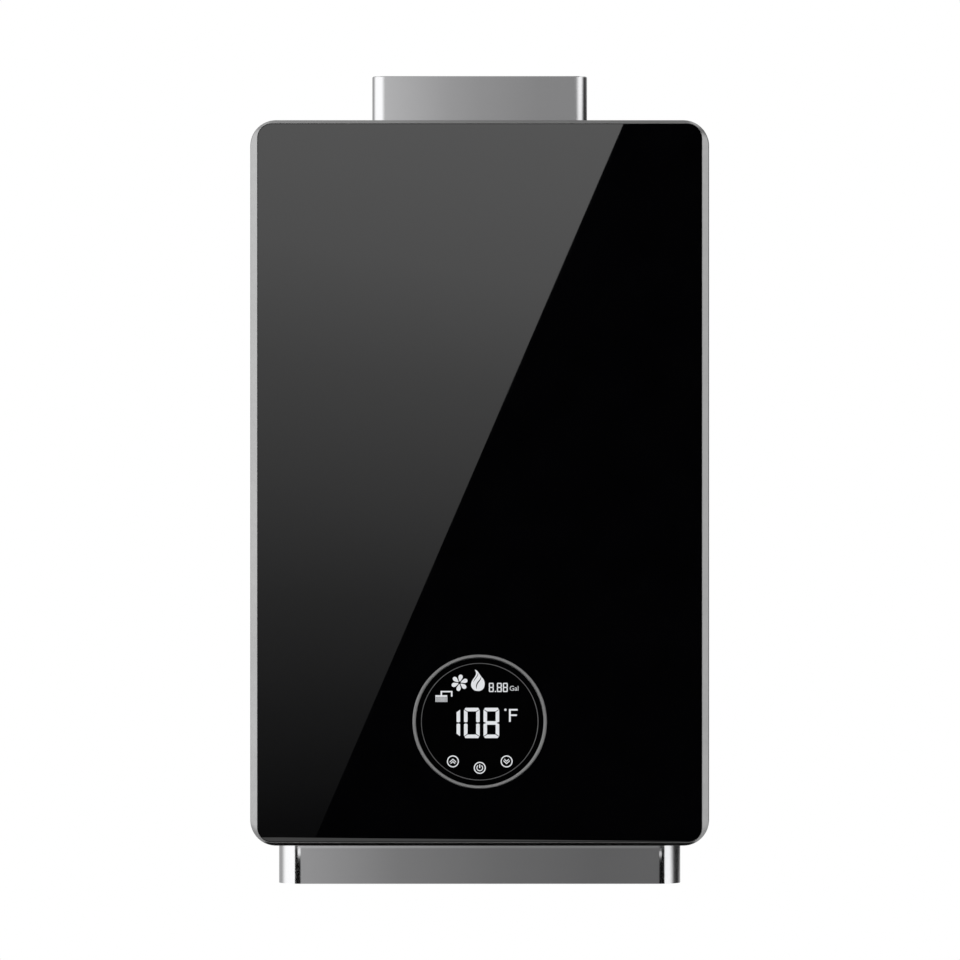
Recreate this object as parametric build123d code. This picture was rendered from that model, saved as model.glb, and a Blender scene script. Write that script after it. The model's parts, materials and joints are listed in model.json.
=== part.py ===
from build123d import *
import math
import os

# Wall-hung propane tankless water heater: a glass-fronted steel cover over a chassis that carries
# burner, combustion chamber, finned exchanger, exhaust fan, gas valve, water fittings and controller.
# Millimetres, +Z up, front towards -Y. The wall is the plane Y = 0, and the origin is midway between
# the two hanging keyholes, on the wall.

# Cover and casing
SHEET = 1.2
COVER_W = 330.8
COVER_H = 523.0
COVER_CORNER_R = 18.5
UNIT_DEPTH = 150.0
COVER_WALL_GAP = 6.0
CHASSIS_GAP = 2.0
NOTCH_GAP = 1.0
COVER_SCREW_INSET = 72.0
COVER_SCREW_FROM_WALL = 14.0
COVER_NUT_T = 3.0

# Trim frame and glass
FRAME_DEPTH = 6.0
FRAME_SLOPE = 2.7
FRAME_SIDE = 5.2
FRAME_END = 2.5
FRAME_LAND = 0.25
FRAME_EDGE_R = 1.4
GLASS_T = 4.0
GLASS_FIT = 0.15
GLASS_CORNER_R = 10.5
GLASS_BEVEL = 3.4
GLASS_BEVEL_DROP = 0.8
GLASS_EDGE = 0.25
TAPE_T = 1.5
TAPE_W = 14.0

# Round display
DISPLAY_HEIGHT = 89.45
RING_R = 48.4
RING_W = 2.35
RING_EDGE = 0.6
DISPLAY_SEAT = 1.8
CUP_DEPTH = 14.8
CUP_FLANGE = 4.0
CUP_WALL = 2.0
DISPLAY_BOARD_DEPTH = 5.4
LED_BLOCK_W = 68.0
LED_BLOCK_H = 36.0

# Flue collar on top
COLLAR_W = 156.3
COLLAR_FRONT_GAP = 30.8
COLLAR_RISE = 34.0
COLLAR_EDGE_R = 9.5
COLLAR_BEVEL = 0.6
COLLAR_FROM_WALL = 16.0
COLLAR_FLANGE = 8.0
FLUE_SOCKET_LAND = 7.75
FLUE_SOCKET_LENGTH = 26.0

# Skirt under the cover
SKIRT_INSET = 19.4
SKIRT_DROP = 29.2
SKIRT_EDGE_R = 18.0
SKIRT_SETBACK = 30.0
SKIRT_FLANGE = 9.0

# Back panel and end plates
HANG_HOLE_RISE = 11.0
HANG_HOLE_R = 5.0
HANG_SLOT_W = 5.2
HANG_SLOT_RISE = 9.0
HANG_HOLE_SPACING = 90.0
HANG_TAB_W = 140.0
HANG_TAB_RISE = 28.0
LOCK_HOLE_R = 3.25
LOCK_HOLE_SPACING = 200.0
LOCK_HOLE_DROP = 13.0
LOCK_TAB_DROP = 24.0
LOCK_TAB_INSET = 2.4
TAB_ROOT = 18.0
TAB_CORNER_R = 6.0
SIDE_FLANGE = 22.0
BEAD_GAP = 4.0
BEAD_W = 24.0
BEAD_H = 3.0
BEAD_INSET = 48.0
END_PLATE_FRONT_GAP = 20.8
END_FLANGE = 12.0
AIR_SLOT_W = 5.0
AIR_SLOT_LENGTH = 28.0
AIR_SLOT_PITCH = 9.0
AIR_SLOT_COUNT = 4
AIR_SLOT_FROM_MID = 18.0
AIR_SLOT_FROM_WALL = 24.0

# Combustion stack, from the burner up
SIDE_BAY = 63.4
FRONT_BAY_PART = 0.252
STACK_FROM_WALL = 20.2
BURNER_HEIGHT = 132.0
BURNER_H = 72.0
CORE_H = 42.0
HOOD_H = 36.0
CHAMBER_WALL = 1.0
BLADE_COUNT = 8
BLADE_MARGIN = 4.8
BLADE_W = 15.0
BLADE_WAIST = 8.0
BLADE_WALL = 0.8
BLADE_FOOT_PART = 0.45
BLADE_WAIST_PART = 0.62
BLADE_HEAD_PART = 0.82
BLADE_END_GAP = 3.0
BLADE_HEADROOM = 6.0
PORT_COUNT = 5
PORT_W = 1.6
PORT_SPAN = 5.0
THROAT_R = 5.5
THROAT_RISE = 18.0
ELECTRODE_R = 3.2
ELECTRODE_COLLAR_R = 4.8
ELECTRODE_COLLAR_T = 4.0
ELECTRODE_RISE = 9.0
ELECTRODE_IN = 16.0
ELECTRODE_WIRE_R = 0.9
ELECTRODE_WIRE_REACH = 10.0
SPARK_PART = -0.12
SPARK_GROUND_PART = -0.2
FLAME_SENSOR_PART = 0.2
FIN_COUNT = 20
FIN_T = 1.6
FIN_DEPTH = 13.0
CORE_END = 4.0
CORE_WALL = 2.0
CORE_TUBE_COUNT = 5
CORE_TUBE_SPAN_PART = 0.7826
CUTOUT_R = 8.0
CUTOUT_T = 7.0
CUTOUT_TAB_W = 30.0
CUTOUT_TAB_H = 9.0
CUTOUT_TAB_T = 1.0
CUTOUT_BLADE_T = 0.8
CUTOUT_BLADE_H = 6.0
BRACKET_GAP = 3.2

# Water tubes and fittings
TUBE_R = 7.0
TUBE_WALL = 1.0
COIL_GAP = 0.3
COIL_TURNS = 2
COIL_LOW_MARGIN = 27.0
COIL_HIGH_MARGIN = 13.0
COIL_BEND_R = 16.0
GAP_SAMPLES = 400
HEADER_MARGIN = 2.0
HEADER_DROP = 11.0
HEADER_RISE = 9.0
HOT_PIPE_OFFSET = 18.7
HOT_PIPE_BEND_R = 17.0
HOT_JOG = 48.0
THREAD_R = 10.48
THREAD_DROP = 21.0
NECK_R = 12.0
NECK_DROP = 4.0
THREAD_BEVEL = 1.0
FITTING_R = 15.0
FITTING_BORE_R = 6.4
FITTING_H = 26.0
HOLE_GAP = 0.4
SENSOR_R = 17.0
SENSOR_BORE_R = 11.0
SENSOR_H = 56.0
SENSOR_PAD_W = 18.0
SENSOR_PAD_OUT = 1.0
HALL_W = 14.0
HALL_T = 6.0
HALL_H = 18.0
HALL_RISE = 10.0
UNION_R = 13.0
UNION_H = 14.0
UNION_GAP = 0.2
THERMISTOR_HEX_R = 6.0
THERMISTOR_HEX_T = 5.0
THERMISTOR_TAIL_R = 3.0
THERMISTOR_TAIL = 9.0

# Flow turbine
TURBINE_R = 10.0
TURBINE_LENGTH = 16.0
TURBINE_HUB_R = 4.0
TURBINE_BLADES = 6
TURBINE_BLADE_T = 1.2
TURBINE_TILT = 28.0
TURBINE_PIN_R = 1.5
TURBINE_PIN_LENGTH = 3.0
RUN_GAP = 0.05
END_PLAY = 0.3
SPIDER_T = 4.0
SPIDER_HUB_R = 3.5
SPIDER_ARM_W = 2.4
SPIDER_ARMS = 3
SPIDER_GAP = 0.2

# Drain plug
DRAIN_PART = 0.196
DRAIN_ARM_R = 7.5
DRAIN_ARM_RISE = 12.0
DRAIN_BOSS_R = 8.5
DRAIN_BOSS_DROP = 6.0
DRAIN_BORE_R = 5.0
DRAIN_GAP = 0.1
DRAIN_STEM = 16.0
DRAIN_HEAD_R = 8.0
DRAIN_HEAD_H = 9.0
DRAIN_FLUTES = 6
DRAIN_FLUTE_R = 2.0

# Gas valve and rail
VALVE_PART = 1 / 3
VALVE_DEPTH = 48.0
VALVE_H = 56.0
VALVE_EDGE_R = 5.0
SOLENOID_X_PART = -0.235
SOLENOID_R_PART = 0.213
SOLENOID_H = 42.0
SOLENOID_CAP = 4.0
REGULATOR_X_PART = 0.25
REGULATOR_R_PART = 0.228
REGULATOR_H = 24.0
REGULATOR_CAP_PART = 0.5
REGULATOR_CAP_H = 8.0
PLUNGER_R = 6.0
PLUNGER_LENGTH = 22.0
PLUNGER_SEAT = 6.0
GAS_PIPE_R = 6.5
GAS_PIPE_BEND_R = 13.0
GAS_PIPE_GAP = 8.0
GAS_PIPE_RISE = 32.0
GAS_BORE_R = 7.0
RAIL_END_GAP = 4.0
RAIL_DEPTH = 14.0
RAIL_H = 22.0
RAIL_EDGE_R = 3.0
RAIL_LUG_GAP = 7.0
RAIL_LUG_H = 12.0
NOZZLE_LENGTH = 8.0
NOZZLE_R = 3.0
NOZZLE_HEX_R = 4.2
NOZZLE_HEX_T = 4.0

# Exhaust fan
FAN_TO_TOP = 88.0
FAN_DEPTH = 42.0
FAN_R = 46.0
FAN_WIDTH = 30.0
FAN_BLADES = 18
FAN_BLADE_T = 1.2
FAN_BLADE_INNER_R = 36.0
FAN_BLADE_BOW = 2.75
FAN_HUB_R = 9.0
FAN_HUB_LENGTH = 14.0
FAN_DISC_T = 1.5
FAN_FACE_GAP = 5.0
SCROLL_GAP = 6.0
SCROLL_STEP = 5.0
SCROLL_WALL = 1.0
SCROLL_LIFT = 1.0
SCROLL_INLET_R = 33.0
TONGUE_OFFSET = 10.0
DUCT_RISE = 2.0
PLENUM_W = 90.0
PLENUM_DEPTH = 16.0
FAN_SHAFT_R = 3.0
MOTOR_R = 30.0
MOTOR_FRONT_GAP = 21.4
MOTOR_BOSS_R = 10.0
MOTOR_CAP = 4.0
MOTOR_EDGE = 5.0
MOTOR_RIB_COUNT = 6
MOTOR_RIB_W = 4.0
MOTOR_RIB_DEPTH = 1.5
MOTOR_RIB_TURN = 30.0

# Controls and small pieces
BOX_W = 86.0
BOX_H = 108.0
BOX_FRONT_GAP = 24.8
BOX_WALL = 2.0
BOX_BACK_GAP = 2.8
BOARD_T = 1.6
BOARD_POST_R = 4.0
BOARD_POST_H = 8.0
BOARD_GAP = 2.0
BOARD_COLUMNS = 3
BOARD_PITCH = 21.0
RELAY_W = 15.0
RELAY_H = 16.0
RELAY_T = 14.0
RELAY_RISE = 58.0
SOCKET_H = 7.0
SOCKET_T = 9.0
SOCKET_RISE = 8.0
CAPACITOR_R = 7.0
CAPACITOR_T = 17.0
CAPACITOR_RISE = 36.0
CHOKE_W = 20.0
SIDE_GAP = 5.0
IGNITER_W = 30.0
IGNITER_T = 26.0
IGNITER_H = 66.0
IGNITER_TOWER_INSET = 0.3
IGNITER_TOWER_R = 4.0
IGNITER_TOWER_H = 8.0
TRANSFORMER_W = 32.0
TRANSFORMER_T = 38.0
TRANSFORMER_H = 46.0
TRANSFORMER_HEIGHT = 134.0
TRANSFORMER_FOOT = 3.0
TRANSFORMER_WINDING = 3.0
SWITCH_FROM_SIDE = 60.6
SWITCH_R = 24.0
SWITCH_T = 20.0
SWITCH_CAP_R = 15.0
SWITCH_CAP_T = 8.0
NIPPLE_R = 2.5
NIPPLE_LENGTH = 12.0
HOSE_R = 4.0
HOSE_GAP = 0.1
HOSE_BEND_R = 9.0
SWITCH_TO_TOP = 46.0
WIRE_R = 2.2
WIRE_BEND_R = 8.0
WIRE_INSET = 8.0
WIRE_FRONT_GAP = 8.0
WIRE_TURN = 6.6
WIRE_END = 0.5
GLAND_FROM_HOT = 24.3
GLAND_FROM_WALL = 26.0
GLAND_NECK_R = 6.5
GLAND_HEAD_R = 10.0
GLAND_HEAD_H = 6.0
GLAND_NUT_H = 5.0
GLAND_TAIL = 8.0
GLAND_BORE_R = 3.6
SCREW_R = 2.0
SCREW_HEAD_R = 4.0
SCREW_HEAD_H = 2.2
SCREW_GAP = 0.1
SCREW_SLOT_GAP = 0.5

# Levels and planes worked out from the sizes above
COVER_TOP = -HANG_HOLE_RISE
COVER_BOTTOM = COVER_TOP - COVER_H
COVER_MID = (COVER_TOP + COVER_BOTTOM) / 2
FRONT_Y = -UNIT_DEPTH
PAN_FRONT_Y = FRONT_Y + FRAME_DEPTH
PAN_INSIDE_Y = PAN_FRONT_Y + SHEET
GLASS_BACK_Y = PAN_FRONT_Y - TAPE_T
GLASS_FRONT_Y = GLASS_BACK_Y - GLASS_T
DISPLAY_Z = COVER_BOTTOM + DISPLAY_HEIGHT
DISPLAY_OPENING_R = RING_R - RING_W - DISPLAY_SEAT
COVER_SCREW_Y = -COVER_SCREW_FROM_WALL
COVER_SCREW_ZS = (COVER_BOTTOM + COVER_SCREW_INSET, COVER_TOP - COVER_SCREW_INSET)
CHASSIS_W = COVER_W - 2 * (SHEET + CHASSIS_GAP)
CHASSIS_TOP = COVER_TOP - SHEET - CHASSIS_GAP
CHASSIS_BOTTOM = COVER_BOTTOM + SHEET + CHASSIS_GAP
CHASSIS_CORNER_R = COVER_CORNER_R - SHEET - CHASSIS_GAP
END_PLATE_W = CHASSIS_W - 2 * CHASSIS_CORNER_R
FLOOR_Z = CHASSIS_BOTTOM + SHEET
PANEL_Y = -SHEET
FLANGE_X = CHASSIS_W / 2 - SHEET
SKIRT_W = COVER_W - 2 * SKIRT_INSET
SKIRT_FRONT_Y = -(UNIT_DEPTH - SKIRT_SETBACK)
COLLAR_BACK_Y = -COLLAR_FROM_WALL
COLLAR_FRONT_Y = PAN_INSIDE_Y + COLLAR_FRONT_GAP
COLLAR_DEPTH = COLLAR_BACK_Y - COLLAR_FRONT_Y
FLUE_SOCKET_R = COLLAR_DEPTH / 2 - FLUE_SOCKET_LAND
COLLAR_MID_Y = COLLAR_BACK_Y - COLLAR_DEPTH / 2
COLLAR_TOP = COVER_TOP + COLLAR_RISE
STACK_W = COVER_W - 2 * SIDE_BAY
STACK_BACK_Y = -STACK_FROM_WALL
STACK_FRONT_Y = FRONT_Y + FRONT_BAY_PART * UNIT_DEPTH
STACK_Y = (STACK_BACK_Y + STACK_FRONT_Y) / 2
SCROLL_R = FAN_R + SCROLL_GAP
SCROLL_OUT_R = SCROLL_R + 2 * SCROLL_STEP
FAN_X = -(TONGUE_OFFSET + SCROLL_STEP + SCROLL_OUT_R) / 2
FAN_Z = CHASSIS_TOP - FAN_TO_TOP
HOOD_TOP = FAN_Z - SCROLL_R - SCROLL_STEP - SCROLL_LIFT
HOOD_BASE = HOOD_TOP - HOOD_H
CORE_BASE = HOOD_BASE - CORE_H
CORE_MID = CORE_BASE + CORE_H / 2
BURNER_BASE = COVER_BOTTOM + BURNER_HEIGHT
CHAMBER_BASE = BURNER_BASE + BURNER_H
TUBE_X = STACK_W / 2 + COIL_GAP + TUBE_R
HOT_X = -(TUBE_X + HOT_PIPE_OFFSET)
BRACKET_REACH = -STACK_Y - TUBE_R - BRACKET_GAP
CORE_TUBE_SPAN = CORE_TUBE_SPAN_PART * (STACK_BACK_Y - STACK_FRONT_Y)
CORE_TUBE_PITCH = CORE_TUBE_SPAN / (CORE_TUBE_COUNT - 1)
CORE_TUBE_FRONT_Y = STACK_Y - CORE_TUBE_SPAN / 2
CORE_TUBE_YS = [CORE_TUBE_FRONT_Y + i * CORE_TUBE_PITCH for i in range(CORE_TUBE_COUNT)]
COIL_PITCH = (CORE_BASE - CHAMBER_BASE - COIL_LOW_MARGIN - COIL_HIGH_MARGIN) / COIL_TURNS
FITTING_TOP = FLOOR_Z + FITTING_H
SENSOR_TOP = FITTING_TOP + SENSOR_H
TURBINE_BASE = FITTING_TOP + SPIDER_T + END_PLAY
SPIDER_TOP_BASE = TURBINE_BASE + TURBINE_LENGTH + END_PLAY
SENSOR_STEP_Z = SPIDER_TOP_BASE + SPIDER_T
THREAD_END = COVER_BOTTOM - THREAD_DROP
VALVE_W = VALVE_PART * STACK_W
VALVE_TOP = FLOOR_Z + VALVE_H
SOLENOID_X = SOLENOID_X_PART * VALVE_W
SOLENOID_R = SOLENOID_R_PART * VALVE_W
REGULATOR_X = REGULATOR_X_PART * VALVE_W
REGULATOR_R = REGULATOR_R_PART * VALVE_W
GAS_PIPE_X = DISPLAY_OPENING_R + GAS_PIPE_R + GAS_PIPE_GAP
PLUNGER_BASE = VALVE_TOP - PLUNGER_SEAT
DRAIN_X = TUBE_X - DRAIN_PART * STACK_W
DRAIN_BOSS_END = CHASSIS_BOTTOM - DRAIN_BOSS_DROP
RAIL_BACK_Y = STACK_FRONT_Y - NOZZLE_LENGTH
RAIL_MID_Y = RAIL_BACK_Y - RAIL_DEPTH / 2
THROAT_Z = BURNER_BASE + THROAT_RISE
RAIL_BASE = THROAT_Z - RAIL_H / 2
BLADE_PITCH = (STACK_W - 2 * (SHEET + BLADE_MARGIN)) / BLADE_COUNT
BLADE_XS = [(i - (BLADE_COUNT - 1) / 2) * BLADE_PITCH for i in range(BLADE_COUNT)]
ELECTRODE_Z = CHAMBER_BASE + ELECTRODE_RISE
ELECTRODE_OUT = STACK_FRONT_Y - PAN_INSIDE_Y - WIRE_FRONT_GAP - WIRE_TURN
SPARK_X = SPARK_PART * STACK_W
SPARK_GROUND_X = SPARK_GROUND_PART * STACK_W
FLAME_SENSOR_X = FLAME_SENSOR_PART * STACK_W
FAN_BACK_Y = STACK_BACK_Y - PLENUM_DEPTH
FAN_FRONT_Y = FAN_BACK_Y - FAN_DEPTH
FAN_DISC_Y = FAN_FRONT_Y + FAN_FACE_GAP
MOTOR_FACE_Y = FAN_FRONT_Y - SHEET
MOTOR_END_Y = PAN_INSIDE_Y + MOTOR_FRONT_GAP
DUCT_TOP = CHASSIS_TOP + DUCT_RISE
DUCT_X0 = FAN_X + TONGUE_OFFSET
DUCT_X1 = FAN_X + SCROLL_STEP + SCROLL_OUT_R
GLAND_X = GLAND_FROM_HOT - TUBE_X
BOX_X0 = -END_PLATE_W / 2
BOX_X1 = BOX_X0 + BOX_W
BOX_BACK_Y = STACK_Y - FITTING_R - BOX_BACK_GAP
BOX_FRONT_Y = PAN_INSIDE_Y + BOX_FRONT_GAP
BOX_TOP = FLOOR_Z + BOX_H
SIDE_X1 = FLANGE_X - SIDE_GAP
SWITCH_X = FLANGE_X - SWITCH_FROM_SIDE
BEAD_X = SWITCH_X - SWITCH_R - BEAD_GAP - BEAD_W / 2
SWITCH_Z = CHASSIS_TOP - SWITCH_TO_TOP
TAP_Y = (FAN_BACK_Y + FAN_FRONT_Y) / 2


def block(x0, x1, y0, y1, z0, z1):
    """A box between two corners, given in any order."""
    centre = ((x0 + x1) / 2, (y0 + y1) / 2, (z0 + z1) / 2)
    return Pos(*centre) * Box(abs(x1 - x0), abs(y1 - y0), abs(z1 - z0))


def slab_x(sketch, x0, x1):
    """A sketch drawn in Y and Z, made solid between two values of X."""
    return extrude(Plane.YZ.offset(min(x0, x1)) * sketch, abs(x1 - x0))


def slab_y(sketch, y0, y1):
    """A sketch drawn in X and Z, made solid between two values of Y."""
    return extrude(Plane.XZ.offset(-max(y0, y1)) * sketch, abs(y1 - y0))


def slab_z(sketch, z0, z1):
    """A sketch drawn in X and Y, made solid between two values of Z."""
    return extrude(Plane.XY.offset(min(z0, z1)) * sketch, abs(z1 - z0))


def rod_x(r, y, z, x0, x1):
    return slab_x(Pos(y, z) * Circle(r), x0, x1)


def rod_y(r, x, z, y0, y1):
    return slab_y(Pos(x, z) * Circle(r), y0, y1)


def rod_z(r, x, y, z0, z1):
    return slab_z(Pos(x, y) * Circle(r), z0, z1)


def tube(points, bend_r, r):
    """A round pipe or wire along straight runs joined by tangent arcs."""
    path = FilletPolyline(*points, radius=bend_r)
    return sweep(Plane(origin=path @ 0, z_dir=path % 0) * Circle(r), path=path)


def group(pieces):
    """Several loose solids of one kind, kept as one node."""
    return Compound(children=list(pieces))


def ring_of(count):
    """Evenly spaced angles round a circle, in degrees."""
    return [i * 360.0 / count for i in range(count)]


def cover_outline(side, end, corner_r):
    """The cover's front outline in X and Z, inset from its sides and from its two ends."""
    return Pos(0, COVER_MID) * RectangleRounded(COVER_W - 2 * side, COVER_H - 2 * end, corner_r)


def front_cover_shell():
    """Deep steel pan, notched from the back for the flue collar and the skirt."""
    rear_y = -COVER_WALL_GAP
    pan = slab_y(cover_outline(0, 0, COVER_CORNER_R), PAN_FRONT_Y, rear_y)
    pan -= slab_y(cover_outline(SHEET, SHEET, COVER_CORNER_R - SHEET), PAN_INSIDE_Y, rear_y)
    pan -= rod_y(DISPLAY_OPENING_R, 0, DISPLAY_Z, PAN_FRONT_Y, PAN_INSIDE_Y)
    collar_half = COLLAR_W / 2 + NOTCH_GAP
    collar_front = COLLAR_FRONT_Y - NOTCH_GAP
    pan -= block(-collar_half, collar_half, collar_front, rear_y, COVER_TOP - SHEET, COVER_TOP)
    skirt_half = SKIRT_W / 2 + NOTCH_GAP
    skirt_front = SKIRT_FRONT_Y - NOTCH_GAP
    pan -= block(-skirt_half, skirt_half, skirt_front, rear_y, COVER_BOTTOM, COVER_BOTTOM + SHEET)
    for z in COVER_SCREW_ZS:
        pan -= rod_x(SCREW_R + SCREW_GAP, COVER_SCREW_Y, z, -COVER_W / 2, COVER_W / 2)
    return pan


def trim_frame():
    """Frame round the glass, whose face slopes back to a rounded shoulder at the cover's edge."""
    shoulder_y = FRONT_Y + FRAME_SLOPE
    outer = cover_outline(0, 0, COVER_CORNER_R)
    land = cover_outline(FRAME_SIDE - FRAME_LAND, FRAME_END - FRAME_LAND, GLASS_CORNER_R + FRAME_LAND)
    frame = slab_y(outer, PAN_FRONT_Y, shoulder_y)
    frame += loft([Plane.XZ.offset(-shoulder_y) * outer, Plane.XZ.offset(-FRONT_Y) * land], ruled=True)
    shoulder = frame.edges().filter_by_position(Axis.Y, shoulder_y - FRAME_LAND, shoulder_y + FRAME_LAND)
    frame = fillet(shoulder, FRAME_EDGE_R)
    return frame - slab_y(cover_outline(FRAME_SIDE, FRAME_END, GLASS_CORNER_R), PAN_FRONT_Y, FRONT_Y)


def glass_outline(inset):
    corner_r = max(GLASS_CORNER_R - GLASS_FIT - inset, GLASS_FIT)
    return cover_outline(FRAME_SIDE + GLASS_FIT + inset, FRAME_END + GLASS_FIT + inset, corner_r)


def glass_panel():
    """Tempered glass with ground edges, a long bevel at the foot and a round hole for the display."""
    panel = slab_y(glass_outline(0), GLASS_BACK_Y, GLASS_FRONT_Y)
    panel = chamfer(panel.faces().sort_by(Axis.Y)[0].edges(), GLASS_EDGE)
    low = COVER_BOTTOM + FRAME_END + GLASS_FIT
    bevel = Polyline(
        (GLASS_FRONT_Y, low),
        (GLASS_FRONT_Y, low + GLASS_BEVEL),
        (GLASS_FRONT_Y + GLASS_BEVEL_DROP, low),
        close=True,
    )
    panel -= slab_x(make_face(bevel), -COVER_W / 2, COVER_W / 2)
    return panel - rod_y(RING_R + GLASS_FIT, 0, DISPLAY_Z, GLASS_BACK_Y, GLASS_FRONT_Y)


def glass_tape():
    """Bonding tape between the glass and the cover, round the edge."""
    return slab_y(glass_outline(0) - glass_outline(TAPE_W), PAN_FRONT_Y, GLASS_BACK_Y)


def display_ring():
    """Bright ring round the display, seated on the cover and a little proud of the glass."""
    ring = slab_y(Pos(0, DISPLAY_Z) * (Circle(RING_R) - Circle(RING_R - RING_W)), PAN_FRONT_Y, FRONT_Y)
    return chamfer(ring.faces().sort_by(Axis.Y)[0].edges(), RING_EDGE)


def display_lens():
    """Smoked window inside the ring, level with the glass."""
    return rod_y(RING_R - RING_W - GLASS_FIT, 0, DISPLAY_Z, PAN_FRONT_Y, GLASS_FRONT_Y)


def display_housing():
    """Moulded cup behind the cover's front wall, with a step that seats the display board."""
    outer_r = DISPLAY_OPENING_R + CUP_WALL
    step_y = PAN_INSIDE_Y + DISPLAY_BOARD_DEPTH
    floor_y = PAN_INSIDE_Y + CUP_DEPTH
    cup = rod_y(outer_r, 0, DISPLAY_Z, PAN_INSIDE_Y, floor_y)
    cup += rod_y(outer_r + CUP_FLANGE, 0, DISPLAY_Z, PAN_INSIDE_Y, PAN_INSIDE_Y + CUP_WALL)
    cup -= rod_y(DISPLAY_OPENING_R, 0, DISPLAY_Z, PAN_INSIDE_Y, step_y)
    return cup - rod_y(DISPLAY_OPENING_R - CUP_WALL, 0, DISPLAY_Z, step_y, floor_y - CUP_WALL)


def display_board():
    """Round circuit board with the numeral block that shows through the lens."""
    back_y = PAN_INSIDE_Y + DISPLAY_BOARD_DEPTH
    face_y = back_y - BOARD_T
    board = rod_y(DISPLAY_OPENING_R - GLASS_FIT, 0, DISPLAY_Z, back_y, face_y)
    half_w = LED_BLOCK_W / 2
    half_h = LED_BLOCK_H / 2
    numerals = block(-half_w, half_w, face_y, PAN_FRONT_Y, DISPLAY_Z - half_h, DISPLAY_Z + half_h)
    return board + numerals


def cover_screw(side, z):
    """One side screw with its square nut, which slides off the chassis flange with the cover."""
    outer_x = side * COVER_W / 2
    tip_x = side * (FLANGE_X - SCREW_GAP - COVER_NUT_T)
    screw = rod_x(SCREW_HEAD_R, COVER_SCREW_Y, z, outer_x, outer_x + side * SCREW_HEAD_H)
    screw += rod_x(SCREW_R, COVER_SCREW_Y, z, outer_x, tip_x)
    half = SCREW_HEAD_R
    nut_x = side * (FLANGE_X - SCREW_GAP)
    return screw + block(nut_x, tip_x, COVER_SCREW_Y - half, COVER_SCREW_Y + half, z - half, z + half)


def cover_screws():
    return group(cover_screw(side, z) for side in (-1, 1) for z in COVER_SCREW_ZS)


def keyhole(x):
    """A hanging keyhole: round entry with a narrow slot rising from it."""
    slot = Pos(x, HANG_SLOT_RISE / 2) * Rectangle(HANG_SLOT_W, HANG_SLOT_RISE)
    return Pos(x, 0) * Circle(HANG_HOLE_R) + slot + Pos(x, HANG_SLOT_RISE) * Circle(HANG_SLOT_W / 2)


def bead(x, inset, base_y):
    """A pressed stiffening bead running up the panel, as a trapezoid."""
    base = BEAD_W / 2 - inset
    crest = BEAD_W / 3 - inset
    section = Polyline(
        (x - base, base_y),
        (x - crest, base_y - BEAD_H),
        (x + crest, base_y - BEAD_H),
        (x + base, base_y),
        close=True,
    )
    return slab_z(make_face(section), CHASSIS_BOTTOM + BEAD_INSET + inset, CHASSIS_TOP - BEAD_INSET - inset)


def back_panel():
    """Pressed back panel with hanging tab, locking tab, side flanges and stiffening beads."""
    outline = Pos(0, COVER_MID) * RectangleRounded(CHASSIS_W, CHASSIS_TOP - CHASSIS_BOTTOM, CHASSIS_CORNER_R)
    tab_root = CHASSIS_TOP - TAB_ROOT
    tab_h = COVER_TOP + HANG_TAB_RISE - tab_root
    outline += Pos(0, tab_root + tab_h / 2) * RectangleRounded(HANG_TAB_W, tab_h, TAB_CORNER_R)
    lock_low = COVER_BOTTOM - LOCK_TAB_DROP
    lock_h = CHASSIS_BOTTOM + TAB_ROOT - lock_low
    lock_w = SKIRT_W - 2 * LOCK_TAB_INSET
    outline += Pos(0, lock_low + lock_h / 2) * RectangleRounded(lock_w, lock_h, TAB_CORNER_R)
    for side in (-1, 1):
        outline -= keyhole(side * HANG_HOLE_SPACING / 2)
        outline -= Pos(side * LOCK_HOLE_SPACING / 2, COVER_BOTTOM - LOCK_HOLE_DROP) * Circle(LOCK_HOLE_R)
    panel = slab_y(outline, PANEL_Y, 0)
    for side in (-1, 1):
        panel += side_flange(side)
        panel += bead(side * BEAD_X, 0, PANEL_Y)
        panel -= bead(side * BEAD_X, SHEET, 0)
    return panel


def side_flange(side):
    """Forward flange of the back panel, slotted from the front for the cover's screws."""
    outer_x = side * CHASSIS_W / 2
    inner_x = side * FLANGE_X
    low = CHASSIS_BOTTOM + CHASSIS_CORNER_R
    flange = block(outer_x, inner_x, 0, -SIDE_FLANGE, low, CHASSIS_TOP - CHASSIS_CORNER_R)
    half = SCREW_R + SCREW_SLOT_GAP
    for z in COVER_SCREW_ZS:
        flange -= block(outer_x, inner_x, COVER_SCREW_Y + half, -SIDE_FLANGE, z - half, z + half)
    return flange


def end_plate(outer_z, inward):
    """Top or bottom plate, welded to the back panel by its rear flange. inward is -1 or 1 along Z."""
    half = END_PLATE_W / 2
    front_y = PAN_INSIDE_Y + END_PLATE_FRONT_GAP
    flange_z = outer_z + inward * (END_FLANGE + SHEET)
    plate = block(-half, half, PANEL_Y, front_y, outer_z, outer_z + inward * SHEET)
    plate += block(-half, half, front_y, front_y + SHEET, outer_z, flange_z)
    return plate + block(-half, half, PANEL_Y, PANEL_Y - SHEET, outer_z, flange_z)


def top_plate():
    """Top plate with the opening that the fan's outlet rises through."""
    gap = NOTCH_GAP
    plate = end_plate(CHASSIS_TOP, -1)
    opening_front = FAN_FRONT_Y - SHEET - gap
    return plate - block(
        DUCT_X0 - gap, DUCT_X1 + gap, FAN_BACK_Y + gap, opening_front, CHASSIS_TOP, CHASSIS_TOP - SHEET
    )


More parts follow.
